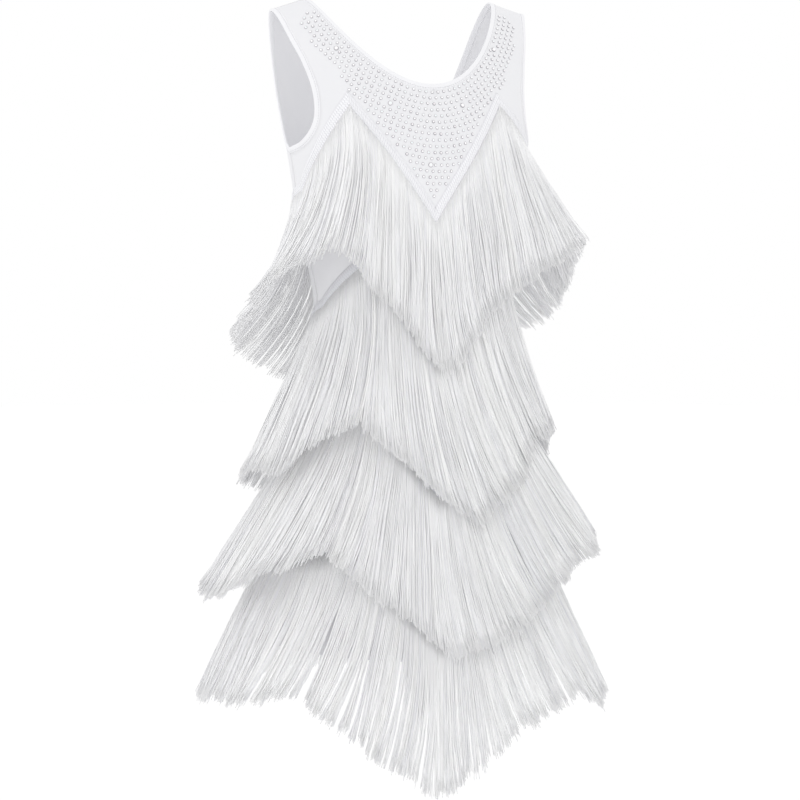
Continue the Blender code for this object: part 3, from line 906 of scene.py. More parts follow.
@dataclass
class Binding:
    """A strip of knit folded over a cut edge and stitched down."""

    name: str
    form: DressForm
    free: Array                     # (angle, pattern) of the folded edge, a closed ring
    sewn: Array                     # the same ring, moved in by the strip's width
    width: float = 7.0
    stitch_line: float = 5.4
    stitch_pitch: float = 3.0
    stitch_height: float = 0.28     # of the threads' middles above the cloth
    stitch_reach: float = 0.4       # a thread points to the place this far ahead of it
    pucker: float = 0.07
    profile: tuple[tuple[float, float], ...] = (        # from the folded edge, and above the cloth
        (0.0, -0.75), (0.1, -0.25), (0.4, 0.1), (0.9, 0.38), (1.8, 0.58), (2.9, 0.66), (4.1, 0.6),
        (4.9, 0.4), (5.4, 0.0), (5.9, 0.3), (6.5, 0.3), (6.9, 0.05), (7.0, -0.3),
        (7.0, -1.3), (5.6, -1.6), (3.5, -1.7), (1.5, -1.65), (0.5, -1.5), (0.1, -1.2),
    )

    def ring(self, share: float) -> Array:
        """The ring's places at a share of the way from the folded edge to the sewn one."""
        return self.free + (self.sewn - self.free) * share

    def build(self) -> bpy.types.Object:
        """Make the strip as a closed tube of the profile's shape.

        Returns:
            The object.
        """
        around = self.form.lengths(self.free)
        waves = round(around[-1] / self.stitch_pitch)
        pull = self.pucker * np.cos(2.0 * math.pi * waves * around / around[-1])
        rings, uv = [], []
        travelled = 0.0
        previous = self.profile[0]
        for across, proud in self.profile:
            travelled += math.hypot(across - previous[0], proud - previous[1])
            previous = (across, proud)
            places = self.ring(across / self.width)
            lift = proud + pull * (proud > 0.0)
            normals = self.form.normal(places[:, 0], places[:, 1])
            rings.append(self.form.surface(places[:, 0], places[:, 1]) + normals * lift[:, None])
            uv.append(np.stack([np.full(len(around), travelled), around], axis=1))
        faces = grid_faces(len(rings), len(around), wrap_rows=True, wrap_columns=True)
        piece = mesh_object(self.name, np.concatenate(rings), [faces])
        add_uv(piece, np.concatenate(uv))
        return piece

    def stitch_places(self) -> tuple[Array, Array, Array]:
        """Where the stitches lie.

        Returns:
            Their middles, the directions along the seam and the outward directions.
        """
        places = self.ring(self.stitch_line / self.width)
        points = self.form.surface(places[:, 0], places[:, 1])
        normals = self.form.normal(places[:, 0], places[:, 1])
        rows = np.concatenate([points, normals], axis=1)
        rows = np.concatenate([rows, rows[:1]])
        lengths = np.concatenate([[0.0], np.cumsum(np.linalg.norm(np.diff(rows[:, :3], axis=0), axis=1))])
        count = round(lengths[-1] / self.stitch_pitch)
        target = (np.arange(count) + 0.5) / count * lengths[-1]
        middle, ahead = (
            np.stack([np.interp(place, lengths, rows[:, k]) for k in range(6)], axis=1)
            for place in (target, target + self.stitch_reach)
        )
        outward = normalised(middle[:, 3:])
        along = normalised(ahead[:, :3] - middle[:, :3])
        return middle[:, :3] + outward * self.stitch_height, along, outward


def closed_ring(halves: list[Array]) -> Array:
    """Runs of places joined end to end into a closed ring, without their shared points."""
    return np.concatenate([run[:-1] for run in halves])


def neck_binding(form: DressForm, samples: int = 151) -> Binding:
    """The folded strip round the neck.

    Args:
        form: the form of the dress.
        samples: points along half of a panel's edge.

    Returns:
        The strip.
    """
    free, sewn = [], []
    for cut in (FRONT_CUT, BACK_CUT):
        half = cut.neck_edge(form, np.linspace(0.0, 1.0, samples))
        moved = form.moved_in(half, Binding.width, -1)
        free += [cut.mirrored(half), half[::-1]]
        sewn += [cut.mirrored(moved), moved[::-1]]
    return Binding("neck_edge_binding", form, closed_ring(free), closed_ring(sewn))


def armhole_binding(form: DressForm, side: WearerSide, samples: int = 121) -> Binding:
    """The folded strip round an armhole.

    Args:
        form: the form of the dress.
        side: which armhole.
        samples: points along a panel's edge.

    Returns:
        The strip.
    """
    shares = np.linspace(0.0, 1.0, samples)
    front = FRONT_CUT.armhole_edge(form, shares)
    back = BACK_CUT.armhole_edge(form, shares)
    front_moved = form.moved_in(front, Binding.width, 1)
    back_moved = BACK_CUT.mirrored(form.moved_in(back, Binding.width, 1))
    free = closed_ring([front, BACK_CUT.mirrored(back)[::-1]])
    sewn = closed_ring([front_moved, back_moved[::-1]])
    flip = np.array([side.value, 1.0])
    free, sewn = ((ring * flip)[::side.value] for ring in (free, sewn))     # so that faces point out
    return Binding(f"{side.name.lower()}_armhole_edge_binding", form, free, sewn)


# ---------------------------------------------------------------- small parts copied many times

def flat_mesh(piece: bpy.types.Object) -> tuple[Array, list[Array]]:
    """Read a small mesh and remove its object.

    Args:
        piece: the object.

    Returns:
        Its vertices' places in millimetres, and its faces, one block for each face size.
    """
    data = piece.data
    points = np.empty(len(data.vertices) * 3)
    data.vertices.foreach_get("co", points)
    faces = []
    for face in data.polygons:
        corners = list(face.vertices)
        first = corners.index(min(corners))
        faces.append(corners[first:] + corners[:first])     # so that each run gives the same order
    sizes = sorted({len(face) for face in faces})
    blocks = [np.array(sorted(face for face in faces if len(face) == size)) for size in sizes]
    bpy.data.objects.remove(piece)
    return points.reshape(-1, 3) / MM, blocks


def clear_selection(piece: bpy.types.Object) -> None:
    """Make a piece the only selected object, with nothing of its mesh selected.

    Args:
        piece: the object.
    """
    bpy.ops.object.select_all(action="DESELECT")
    piece.select_set(True)
    bpy.context.view_layer.objects.active = piece
    bpy.ops.object.mode_set(mode="EDIT")
    bpy.ops.mesh.select_all(action="DESELECT")
    bpy.ops.object.mode_set(mode="OBJECT")


def copied(
    name: str,
    pattern: tuple[Array, list[Array]],
    middles: Array,
    frames: Array,
    sizes: Array,
    smooth: bool,
) -> bpy.types.Object:
    """Join copies of one small mesh.

    Args:
        name: the joined object's name.
        pattern: the mesh's places and faces.
        middles: where each copy's own origin goes.
        frames: each copy's own X, Y and Z directions, as rows.
        sizes: each copy's size.
        smooth: whether it is shaded smooth.

    Returns:
        The joined object.
    """
    points, blocks = pattern
    placed = np.einsum("ni,mij->mnj", points, frames) * sizes[:, None, None] + middles[:, None, :]
    offsets = (np.arange(len(middles)) * len(points))[:, None, None]
    faces = [(block[None] + offsets).reshape(-1, block.shape[1]) for block in blocks]
    return mesh_object(name, placed.reshape(-1, 3), faces, smooth)


@dataclass
class Stitching:
    """A row of machine stitches: short threads that dip into the cloth at both ends."""

    name: str
    length: float = 2.1
    thread: float = 0.55
    end_dip: float = 0.35           # of the thread's thickness
    segments: int = 6
    rings: int = 5

    def stitch(self) -> tuple[Array, list[Array]]:
        """Model one stitch along X, rounded, its ends drawn down.

        Returns:
            Its places and faces.
        """
        bpy.ops.object.select_all(action="DESELECT")
        bpy.ops.mesh.primitive_uv_sphere_add(segments=self.segments, ring_count=self.rings, radius=0.5 * MM)
        piece = bpy.context.active_object
        clear_selection(piece)
        bpy.ops.object.mode_set(mode="EDIT")
        bpy.ops.mesh.select_all(action="SELECT")
        bpy.ops.transform.rotate(value=math.pi / 2.0, orient_axis="Y", center_override=(0.0, 0.0, 0.0))
        bpy.ops.transform.resize(value=(self.length, self.thread, self.thread))
        bpy.ops.object.mode_set(mode="OBJECT")
        points, faces = flat_mesh(piece)
        points[:, 2] -= self.end_dip * self.thread * (2.0 * points[:, 0] / self.length) ** 2
        return points, faces

    def build(self, middles: Array, along: Array, normals: Array) -> bpy.types.Object:
        """All the stitches of a seam."""
        frames = np.stack([along, np.cross(normals, along), normals], axis=1)
        return copied(self.name, self.stitch(), middles, frames, np.ones(len(middles)), True)


@dataclass(frozen=True)
class LargeStone:
    """A larger stone among the rows."""

    angle: float
    height: float


@dataclass
class Rhinestones:
    """Flat-backed stones in rows that follow the neckline, down to the first braid."""

    form: DressForm
    name: str = "rhinestones"
    diameter: float = 3.6
    thickness: float = 1.05
    girdle: float = 0.2             # of the thickness
    table: float = 0.5              # of the diameter
    sides: int = 8
    pitch: float = 7.3              # along a row
    row_pitch: float = 7.0
    row_steps: int = 40             # each row is found in so many short steps from the neck's edge
    first_row: float = 10.3         # from the neck's folded edge
    rows: int = 22
    strap_rows: float = 3.4
    strap_start: float = 26.0       # of cloth below the shoulder seam
    strap_growth: float = 0.018     # rows for each millimetre down the strap
    most_strap_rows: int = 6
    row_setback: float = 2.0        # each row starts so much further down the strap than the last
    yoke_from: float = 0.5          # of half a row: nearer its middle only the braid ends the rows
    braid_clearance: float = 4.5
    lift: float = 0.1               # of the glue under the stones
    wander: float = 0.12            # from their places
    tilt: float = 0.02
    tints: tuple[float, float] = (0.4, 1.0)     # of the tables, from rose to cyan on the finish's ramp
    edge_samples: int = 200
    large_diameter: float = 5.6
    large_gap: float = 0.4          # left clear round a larger stone
    large_stones: tuple[LargeStone, ...] = (
        LargeStone(-38.5, -58.0), LargeStone(34.0, -57.0),
        LargeStone(-20.0, -119.0), LargeStone(12.5, -121.0), LargeStone(-5.0, -187.0),
    )
    seed: int = 5

    def stone(self) -> tuple[Array, list[Array]]:
        """Model one stone: a girdle, a crown of facets and a flat table.

        Returns:
            Its places and faces.
        """
        bpy.ops.object.select_all(action="DESELECT")
        bpy.ops.mesh.primitive_cylinder_add(vertices=self.sides, radius=0.5 * MM, depth=MM)
        piece = bpy.context.active_object
        clear_selection(piece)
        for face in piece.data.polygons:
            face.select = face.normal.z > 0.9
        bpy.ops.object.mode_set(mode="EDIT")
        bpy.ops.mesh.select_mode(type="FACE")
        crown = (1.0 - self.girdle) * MM
        bpy.ops.transform.translate(value=(0.0, 0.0, -crown))
        bpy.ops.mesh.extrude_region_move(TRANSFORM_OT_translate={"value": (0.0, 0.0, crown)})
        bpy.ops.transform.resize(value=(self.table, self.table, 1.0), center_override=(0.0, 0.0, 0.0))
        half_side = math.pi / self.sides        # so that the crown's facets lie between the girdle's
        bpy.ops.transform.rotate(value=half_side, orient_axis="Z", center_override=(0.0, 0.0, 0.0))
        bpy.ops.object.mode_set(mode="OBJECT")
        points, faces = flat_mesh(piece)
        points[:, 2] = (points[:, 2] - points[:, 2].min()) * self.thickness / self.diameter
        return points, faces

    def small_places(self, braid: "Tier") -> Array:
        """Rows of small stones that find room above the first braid.

        Args:
            braid: the first tier.

        Returns:
            (angle, pattern) of each.
        """
        form = self.form
        edge = FRONT_CUT.neck_edge(form, np.linspace(0.0, 1.0, self.edge_samples))
        found = []
        for row in range(self.rows):
            half = form.moved_in(edge, self.first_row + row * self.row_pitch, -1, self.row_steps)
            half = half[half[:, 0] >= 0.0]
            half = np.concatenate([half, [[0.0, half[-1, 1]]]])
            whole = np.concatenate([half, FRONT_CUT.mirrored(half)[::-1][1:]])
            lengths = form.lengths(whole)
            middle = lengths[-1] / 2.0
            count = int(middle / self.pitch) + 1
            shift = 0.5 * (row % 2)         # every other row is set between the stones of the last
            target = middle + (np.arange(-count, count + 1) + shift) * self.pitch
            target = target[(target > 0.0) & (target < lengths[-1])]
            stones = np.stack([np.interp(target, lengths, whole[:, k]) for k in (0, 1)], axis=1)
            down = np.minimum(target, lengths[-1] - target)
            allowed = self.strap_rows + self.strap_growth * np.maximum(down - self.strap_start, 0.0)
            allowed = np.minimum(allowed, self.most_strap_rows)
            on_strap = (down > self.strap_start + self.row_setback * row) & (row < allowed)
            height = form.surface(stones[:, 0], stones[:, 1])[:, 2]
            braid_top = braid.height(stones[:, 0]) + braid.half_height(form, stones[:, 0])
            above = height > braid_top + self.braid_clearance
            on_yoke = braid.between_peaks(stones[:, 0]) & (down > middle * self.yoke_from)
            found.append(stones[np.where(on_yoke, above, on_strap & above)])
        return np.concatenate(found)

    def places(self, braid: "Tier", rng: np.random.Generator) -> tuple[Array, Array]:
        """Where all the stones go.

        Args:
            braid: the first tier.
            rng: moves the small ones a little.

        Returns:
            (angle, pattern) and diameter of each, the large ones last.
        """
        form = self.form
        small = self.small_places(braid)
        small = small + rng.normal(0.0, self.wander, small.shape) * (1.0 / form.degree_length, 1.0)
        angles = np.array([stone.angle for stone in self.large_stones])
        heights = np.array([stone.height for stone in self.large_stones])
        large = np.stack([angles, form.pattern_height(angles, heights)], axis=1)
        small_points = form.surface(small[:, 0], small[:, 1])
        large_points = form.surface(large[:, 0], large[:, 1])
        nearest = np.linalg.norm(small_points[:, None] - large_points[None], axis=-1).min(axis=1)
        small = small[nearest > 0.5 * (self.large_diameter + self.diameter) + self.large_gap]
        sizes = (np.full(len(small), self.diameter), np.full(len(large), self.large_diameter))
        return np.concatenate([small, large]), np.concatenate(sizes)

    def frames(self, normals: Array, rng: np.random.Generator) -> Array:
        """Turn the stones at random and tilt them a little.

        Args:
            normals: directions out of the cloth.
            rng: where the turns and tilts come from.

        Returns:
            Each stone's own X, Y and Z directions.
        """
        spin = rng.uniform(0.0, 2.0 * math.pi, len(normals))
        level = normalised(np.cross([0.0, 0.0, 1.0], normals))
        upright = np.cross(normals, level)
        turned = level * np.cos(spin)[:, None] + upright * np.sin(spin)[:, None]
        tilt = rng.normal(0.0, self.tilt, (len(normals), 2))
        up = normalised(normals + level * tilt[:, :1] + upright * tilt[:, 1:])
        turned = normalised(turned - up * np.sum(turned * up, axis=1, keepdims=True))
        return np.stack([turned, np.cross(up, turned), up], axis=1)

    def build(self, braid: "Tier") -> bpy.types.Object:
        """Make all the stones, each tinged a little its own way.

        Args:
            braid: the first tier.

        Returns:
            The object.
        """
        rng = np.random.default_rng(self.seed)
        places, sizes = self.places(braid, rng)
        frames = self.frames(self.form.normal(places[:, 0], places[:, 1]), rng)
        middles = self.form.surface(places[:, 0], places[:, 1]) + frames[:, 2] * self.lift
        pattern = self.stone()
        piece = copied(self.name, pattern, middles, frames, sizes, False)
        # painted shade: all but the table take the girdle's dark grey, so each stone has a dark rim
        on_table = pattern[0][:, 2] > 0.5 * pattern[0][:, 2].max()
        add_tint(piece, (rng.uniform(*self.tints, len(places))[:, None] * on_table).ravel())
        LOG.info("%d stones", len(places))
        return piece


# ---------------------------------------------------------------- fringe

@dataclass(frozen=True)
class Tier:
    """One tier of fringe: the heights of its braid, and where its ends are carried."""

    number: int
    valley: float                   # heights of the braid's corners, from centre front
    peak: float
    right_side: float
    left_side: float
    back_side: float
    back: float
    lengths: tuple[tuple[float, float], ...]    # angle of the root, and how long the strands are there
    front_lift: float               # how far their ends stand off the cloth
    right_lift: float
    left_lift: float
    back_lift: float
    right_bend: float               # 1 where they go off straight, more where they bend out late
    left_bend: float
    right_swing: float              # degrees that their ends are carried round to the sides
    left_swing: float
    drift: float                    # and from centre front to the wearer's left
    corner_angles: tuple[float, ...] = (0.0, 35.5, 76.0, 115.0, 180.0)
    zigzag_centre: float = -3.0     # the braids sit turned this far from centre front
    braid_width: float = 11.0
    slope_step: float = 0.3
    flare_start: float = 18.0
    flare_full: float = 56.0
    back_flare_full: float = 115.0
    back_flare_end: float = 165.0
    middle_bend: float = 1.3

    def between_peaks(self, angle: Array) -> Array:
        """Whether some angles lie between the braid's two peaks."""
        return np.abs(angle - self.zigzag_centre) < self.corner_angles[1]

    def turn(self, angle: Array) -> Array:
        """Degrees from centre front, the same to the left and to the right."""
        return np.abs((angle + 180.0) % 360.0 - 180.0)

    def height(self, angle: Array) -> Array:
        """Height of the middle of the braid.

        Args:
            angle: degrees round the body.

        Returns:
            The height at each angle.
        """
        turn = self.turn(angle - self.zigzag_centre)
        heights = [self.valley, self.peak, self.right_side, self.back_side, self.back]
        right = np.interp(turn, self.corner_angles, heights)
        heights[2] = self.left_side
        left = np.interp(turn, self.corner_angles, heights)
        return np.where((angle % 360.0 > 0.0) & (angle % 360.0 < 180.0), left, right)

    def run(self, form: DressForm, angle: Array) -> Array:
        """Cloth along the level for one degree, at the braid."""
        return form.per_degree(angle, form.pattern_height(angle, self.height(angle)))

    def half_height(self, form: DressForm, angle: Array) -> Array:
        """Half of the braid's width, measured upright, so that a sloping braid keeps its width.

        Args:
            form: the form of the dress.
            angle: degrees round the body.

        Returns:
            The half height at each angle.
        """
        total = 0.0
        for turn in (-self.slope_step, self.slope_step):
            rise = self.height(angle + turn) - self.height(angle)
            slope = rise / (self.slope_step * self.run(form, angle))
            total = total + self.braid_width / 2.0 * np.hypot(1.0, slope)
        return total / 2.0

    def flare(self, angle: Array) -> tuple[Array, Array]:
        """How strands stand off the cloth.

        Args:
            angle: degrees round the body of their roots.

        Returns:
            How far their ends stand off, and their bends.
        """
        turn = self.turn(angle)
        at_right = angle % 360.0 > 180.0
        side_lift = np.where(at_right, self.right_lift, self.left_lift)
        side_bend = np.where(at_right, self.right_bend, self.left_bend)
        front = smooth_step((turn - self.flare_start) / (self.flare_full - self.flare_start))
        past_full = (turn - self.back_flare_full) / (self.back_flare_end - self.back_flare_full)
        share = np.where(turn <= 90.0, front, 1.0 - smooth_step(past_full))
        middle = np.where(turn <= 90.0, self.front_lift, self.back_lift)
        bend = self.middle_bend + (side_bend - self.middle_bend) * share
        return middle + (side_lift - middle) * share, bend

    def strand_length(self, angle: Array) -> Array:
        """Length of the strands that hang from some angles."""
        return np.interp((angle + 180.0) % 360.0 - 180.0, *np.transpose(self.lengths))

    def corners(self, centre: float, seam_angle: float = 0.1) -> Array:
        """The braid's corners on one panel.

        Args:
            centre: angle of the panel's middle.
            seam_angle: left between the braid's ends and the side seams.

        Returns:
            Their angles, from end to end.
        """
        both = [turn for corner in self.corner_angles for turn in (corner, 2.0 * centre - corner)]
        turns = {turn + self.zigzag_centre for turn in both}
        first, last = centre - 90.0 + seam_angle, centre + 90.0 - seam_angle
        return np.array([first, *sorted(turn for turn in turns if first < turn < last), last])


TIERS = (
    Tier(
        number=1, valley=-244.0, peak=-115.0, right_side=-212.0, left_side=-190.0,
        back_side=-236.0, back=-290.0,
        lengths=(
            (-180.0, 170.0), (-145.0, 180.0), (-95.0, 170.0), (-70.0, 160.0), (-47.0, 176.0),
            (-36.0, 165.0), (15.0, 169.0), (32.0, 202.0), (40.0, 186.0), (52.0, 156.0), (95.0, 150.0),
            (145.0, 160.0), (180.0, 170.0),
        ),
        front_lift=16.0, right_lift=88.0, left_lift=76.0, back_lift=26.0, right_bend=1.25,
        left_bend=1.0, right_swing=12.0, left_swing=20.0, drift=4.0,
    ),
    Tier(
        number=2, valley=-397.0, peak=-287.0, right_side=-343.0, left_side=-318.0,
        back_side=-368.0, back=-410.0,
        lengths=(
            (-100.0, 186.0), (-80.0, 184.0), (-64.0, 210.0), (-52.0, 190.0), (-41.0, 178.0),
            (-32.0, 184.0), (-20.0, 180.0), (0.0, 190.0), (20.0, 211.0), (38.0, 214.0), (60.0, 184.0),
            (80.0, 180.0), (110.0, 186.0),
        ),
        front_lift=18.0, right_lift=48.0, left_lift=36.0, back_lift=26.0, right_bend=1.0,
        left_bend=1.0, right_swing=7.0, left_swing=12.0, drift=14.0,
    ),
    Tier(
        number=3, valley=-552.0, peak=-446.0, right_side=-499.0, left_side=-468.0,
        back_side=-510.0, back=-536.0,
        lengths=(
            (-130.0, 170.0), (-95.0, 178.0), (-62.0, 176.0), (-48.0, 178.0), (-35.0, 165.0),
            (-20.0, 165.0), (0.0, 178.0), (12.0, 197.0), (30.0, 215.0), (50.0, 208.0), (75.0, 166.0),
            (105.0, 160.0), (130.0, 170.0),
        ),
        front_lift=22.0, right_lift=60.0, left_lift=66.0, back_lift=26.0, right_bend=1.0,
        left_bend=1.0, right_swing=11.0, left_swing=22.0, drift=5.0,
    ),
    Tier(
        number=4, valley=-713.0, peak=-610.0, right_side=-626.0, left_side=-638.0,
        back_side=-640.0, back=-636.0,
        lengths=(
            (-100.0, 162.0), (-80.0, 158.0), (-62.0, 167.0), (-30.0, 160.0), (0.0, 166.0),
            (14.0, 149.0), (25.0, 175.0), (45.0, 203.0), (60.0, 190.0), (72.0, 174.0), (85.0, 158.0),
            (110.0, 164.0),
        ),
        front_lift=16.0, right_lift=32.0, left_lift=38.0, back_lift=20.0, right_bend=1.0,
        left_bend=1.0, right_swing=10.0, left_swing=17.0, drift=-2.0,
    ),
)


def broad_waves(rng: np.random.Generator, place: Array, width: float) -> Array:
    """Uneven waves along a braid, from about -1 to 1.

    Args:
        rng: where their phases come from.
        place: lengths along the braid.
        width: of the commonest wave, in millimetres.

    Returns:
        The wave's value at each place.
    """
    parts = ((0.55, 1.0), (0.3, 0.61), (0.3, 1.73))
    phases = rng.uniform(0.0, 2.0 * math.pi, len(parts))
    return sum(
        weight * np.sin(2.0 * math.pi * place / (width * spread) + phase)
        for (weight, spread), phase in zip(parts, phases)
    )


@dataclass(frozen=True)
class LockStyle:
    """How the strands of a tier flow together and gather into locks."""

    narrow: float = 3.5             # width of a lock along the braid
    wide: float = 10.0
    gather: float = 0.10            # a lock's ends are drawn together by this share
    gather_from: float = 0.0        # of the length, where it starts to gather
    gather_by: float = 0.55         # and where it is gathered
    loose: float = 0.45             # share of strands that hang behind the locks, in none
    crown: float = 0.9              # a lock's middle stands out of its edges
    depth: float = 2.8              # of the strands' layers
    layer_centre: float = 0.5       # of the depth, where the tier's own surface lies
    lift_spread: float = 1.1        # of locks' ends off the cloth
    sway_spread: float = 1.2        # of locks' ends sideways
    bow_spread: float = 0.7
    flow_sway: float = 5.0          # of broad waves sideways, at the ends
    flow_bow: float = 4.4           # and at half length
    flow_width: float = 78.0
    fold_rise: float = 3.8          # of broad waves off the cloth
    fold_width: float = 34.0
    wave: float = 0.4               # of a single strand
    ragged: float = 1.9             # of strands' ends
    lock_ragged: float = 1.5
    splay: float = 1.1              # of the last few millimetres
    splay_from: float = 0.93
    lowest_lift: float = -2.5       # of locks' ends
    highest_lift: float = 4.0
    least_half: float = 1.0         # of a lock's width, for the place of its strands in it
    stray: float = 0.012            # share of strands that leave their lock
    stray_sway: float = 5.0
    top_every: int = 5              # every so many strands one lies on top
    top_jitter: float = 0.3         # and keeps its place along the braid this closely
    top_layer: float = 0.8          # where the top strands' layers start
    top_layers: float = 0.2         # and how deep they are
    low_layers: float = 0.6         # depth of the other strands' layers
    loose_layers: float = 0.45      # share of those depths where the loose strands lie
    wave_turns: tuple[float, float] = (1.0, 2.6)    # least and most waves along a strand
    wave_range: tuple[float, float] = (0.4, 1.6)    # least and most of their size
    free_by: float = 0.4            # of the length, where a strand moves freely
    spread_by: float = 0.35         # and where the layers have spread
    sway_bend: float = 1.7
    shade: float = 0.6
    top_strand_painted_light: float = 0.14         # painted light: strands on top are coloured this much lighter than those beneath
    shade_spread: float = 0.12      # from lock to lock, and from strand to strand
    least_shade: float = 0.25       # where the yarn's own shades start on the finish's ramp


FULL_LOCKS = LockStyle()
AIRY_LOCKS = LockStyle(
    narrow=2.2, wide=7.0, gather=0.36, gather_from=0.25, gather_by=0.85, loose=0.06, sway_spread=1.5,
    depth=2.0, ragged=3.0, lock_ragged=2.0,
)


@dataclass
class Strands:
    """The strands of one braid before they hang, with a value of each for every strand."""

    root: Array         # angle where it leaves the braid
    lock_angle: Array   # and where the middle of its lock does
    aside: Array        # its place in the lock, from -1 to 1
    held: Array         # 1 in a lock, 0 behind the locks
    layer: Array        # 0 at the back of the tier, 1 on top
    length: Array
    away: Array         # of its end, off the braid
    bend: Array
    sway: Array         # of its end, sideways
    bow: Array          # and at half length
    wave: Array         # size of its own waves, sideways and outwards,
    turns: Array        # how many they are,
    phase: Array        # and how they start
    splay: Array        # of its last few millimetres, sideways and outwards
    shade: Array


@dataclass
class Fringe:
    """A braid on one panel with all the strands that hang from it."""

    name: str
    form: DressForm
    tier: Tier
    centre: float
    strands: int
    style: LockStyle = FULL_LOCKS
    braid_step: float = 0.9
    braid_offset: float = 1.4       # from the cloth to where the strands are sewn in
    braid_thickness: float = 1.3    # beyond that
    braid_foot: float = 0.2         # its edges lie this close to the cloth
    braid_rows: int = 3             # of stitches
    braid_columns: tuple[float, ...] = (
        -1.0, -0.94, -0.67, -0.42, -0.33, -0.24, 0.0, 0.24, 0.33, 0.42, 0.67, 0.94, 1.0,
    )                               # of mesh, in shares of half the braid's width
    braid_fullness: float = 2.1     # 2 for an elliptic section, more for a squarer one
    cord_pitch: float = 3.1         # of the braid's slanting stitches
    cord_slant: float = 1.1         # pitches that a stitch climbs across its row
    cord_rise: float = 0.42
    cord_most_rise: float = 0.35    # above the braid's own thickness
    cord_calm: int = 6              # the higher, the nearer the braid's edges the stitches reach
    row_groove: float = 0.12        # between the rows of stitches
    row_groove_width: float = 0.06  # of half the braid's width
    braid_hollow: float = 0.0       # painted shade between its stitches, a place on the finish's ramp
    braid_top: float = 0.29         # lighter on their tops, with that painted shade
    covered_share: float = 0.4      # of those shades, where the tier above keeps the light off
    radius: float = 0.68
    tip_share: float = 0.72         # of the radius, at the cut ends
    sides: int = 3
    root_step: float = 1.0          # along the braid, between the angles that roots are found from
    root_depth: float = 2.0         # strands start this far above the braid's lower edge
    root_offset: float = 0.5        # and this far beyond the braid's offset
    layer_rise: float = 0.9         # between the back of a tier and its top, at the roots
    substeps: int = 24
    kept_every: int = 3             # every so many substeps a strand has a ring of points
    swing_bend: float = 1.5
    least_away: float = 3.0
    least_fall: float = 0.25
    drift_narrowness: float = 1.5

    def along_braid(self, step: float) -> tuple[Array, Array]:
        """Angles along the braid, its corners among them.

        Args:
            step: the most millimetres between two of them.

        Returns:
            The angles, and the length of braid up to each.
        """
        corners = self.tier.corners(self.centre)
        angles, lengths = [corners[:1]], [np.zeros(1)]
        total = 0.0
        for start, end in zip(corners, corners[1:]):
            run = (end - start) * float(self.tier.run(self.form, (start + end) / 2.0))
            leg = math.hypot(run, float(self.tier.height(end) - self.tier.height(start)))
            count = max(1, math.ceil(leg / step))
            share = np.arange(1, count + 1) / count
            angles.append(start + (end - start) * share)
            lengths.append(total + leg * share)
            total += leg
        return np.concatenate(angles), np.concatenate(lengths)

    def braid_relief(self, lengths: Array) -> tuple[Array, Array]:
        """The braid's stitches: rows side by side, each slanting against the next.

        Args:
            lengths: places along the braid.

        Returns:
            Height of the braid's outside above the cloth and how far it is raised from 0 to 1,
            a row for each place and a value for each column.
        """
        across = np.array(self.braid_columns)
        half_rows = self.braid_rows / 2.0
        row = np.clip(np.floor((across + 1.0) * half_rows), 0, self.braid_rows - 1)
        within = (across + 1.0) * half_rows - row - 0.5
        climb = self.cord_slant * within * np.where(row % 2 == 1, -1.0, 1.0)
        slant = lengths[:, None] / self.cord_pitch + climb
        calm = 1.0 - np.abs(across) ** self.cord_calm
        cord = self.cord_rise * (np.abs(np.sin(math.pi * slant)) - 0.5) * calm
        from_groove = (np.abs(across) - 1.0 / self.braid_rows) / self.row_groove_width
        groove = self.row_groove * np.exp(-from_groove ** 2)
        edge = np.sqrt(np.clip(1.0 - np.abs(across) ** self.braid_fullness, 0.0, 1.0))
        top = self.braid_offset + self.braid_thickness
        proud = self.braid_foot + (top - self.braid_foot) * edge + cord - groove
        raised = np.clip((cord - groove) / self.cord_rise + 0.5, 0.0, 1.0)
        return np.minimum(proud, top + self.cord_most_rise), raised

    def braid_mesh(self) -> tuple[Array, list[Array], Array, Array]:
        """The braid as a closed strip.

        Returns:
            Points, faces, UV places and shades.
        """
        angles, lengths = self.along_braid(self.braid_step)
        across = np.array(self.braid_columns)
        proud, raised = self.braid_relief(lengths)
        half = self.tier.half_height(self.form, angles)
        level = self.tier.height(angles)[:, None] + half[:, None] * across
        angle = np.broadcast_to(angles[:, None], level.shape)
        pattern = self.form.pattern_height(angle, level)
        points = self.form.surface(angle, pattern)
        normals = self.form.normal(angle, pattern)
        outer = points + normals * proud[..., None]
        inner = points[:, [-1, 0]] + normals[:, [-1, 0]] * self.braid_foot / 2.0
        rings = np.concatenate([outer, inner], axis=1)
        count, columns = rings.shape[:2]
        raised = np.concatenate([raised, np.zeros((count, 2))], axis=1)
        # painted shade: the braid is coloured darker between its stitches than on their tops, and darker
        # still on the lower tiers, which lie in the shade of the tier above
        tint = self.braid_hollow + (self.braid_top - self.braid_hollow) * raised
        tint *= self.covered_share if self.tier.number > 1 else 1.0
        ring = np.arange(columns)
        ends = np.stack([ring, (count - 1) * columns + ring[::-1]])
        faces = [grid_faces(count, columns, wrap_columns=True)[:, ::-1], ends]
        uv_across = np.concatenate([across, [1.0, -1.0]]) * self.tier.braid_width / 2.0
        uv = np.stack(np.broadcast_arrays(uv_across, lengths[:, None]), axis=-1)
        return rings.reshape(-1, 3), faces, uv.reshape(-1, 2), tint.ravel()

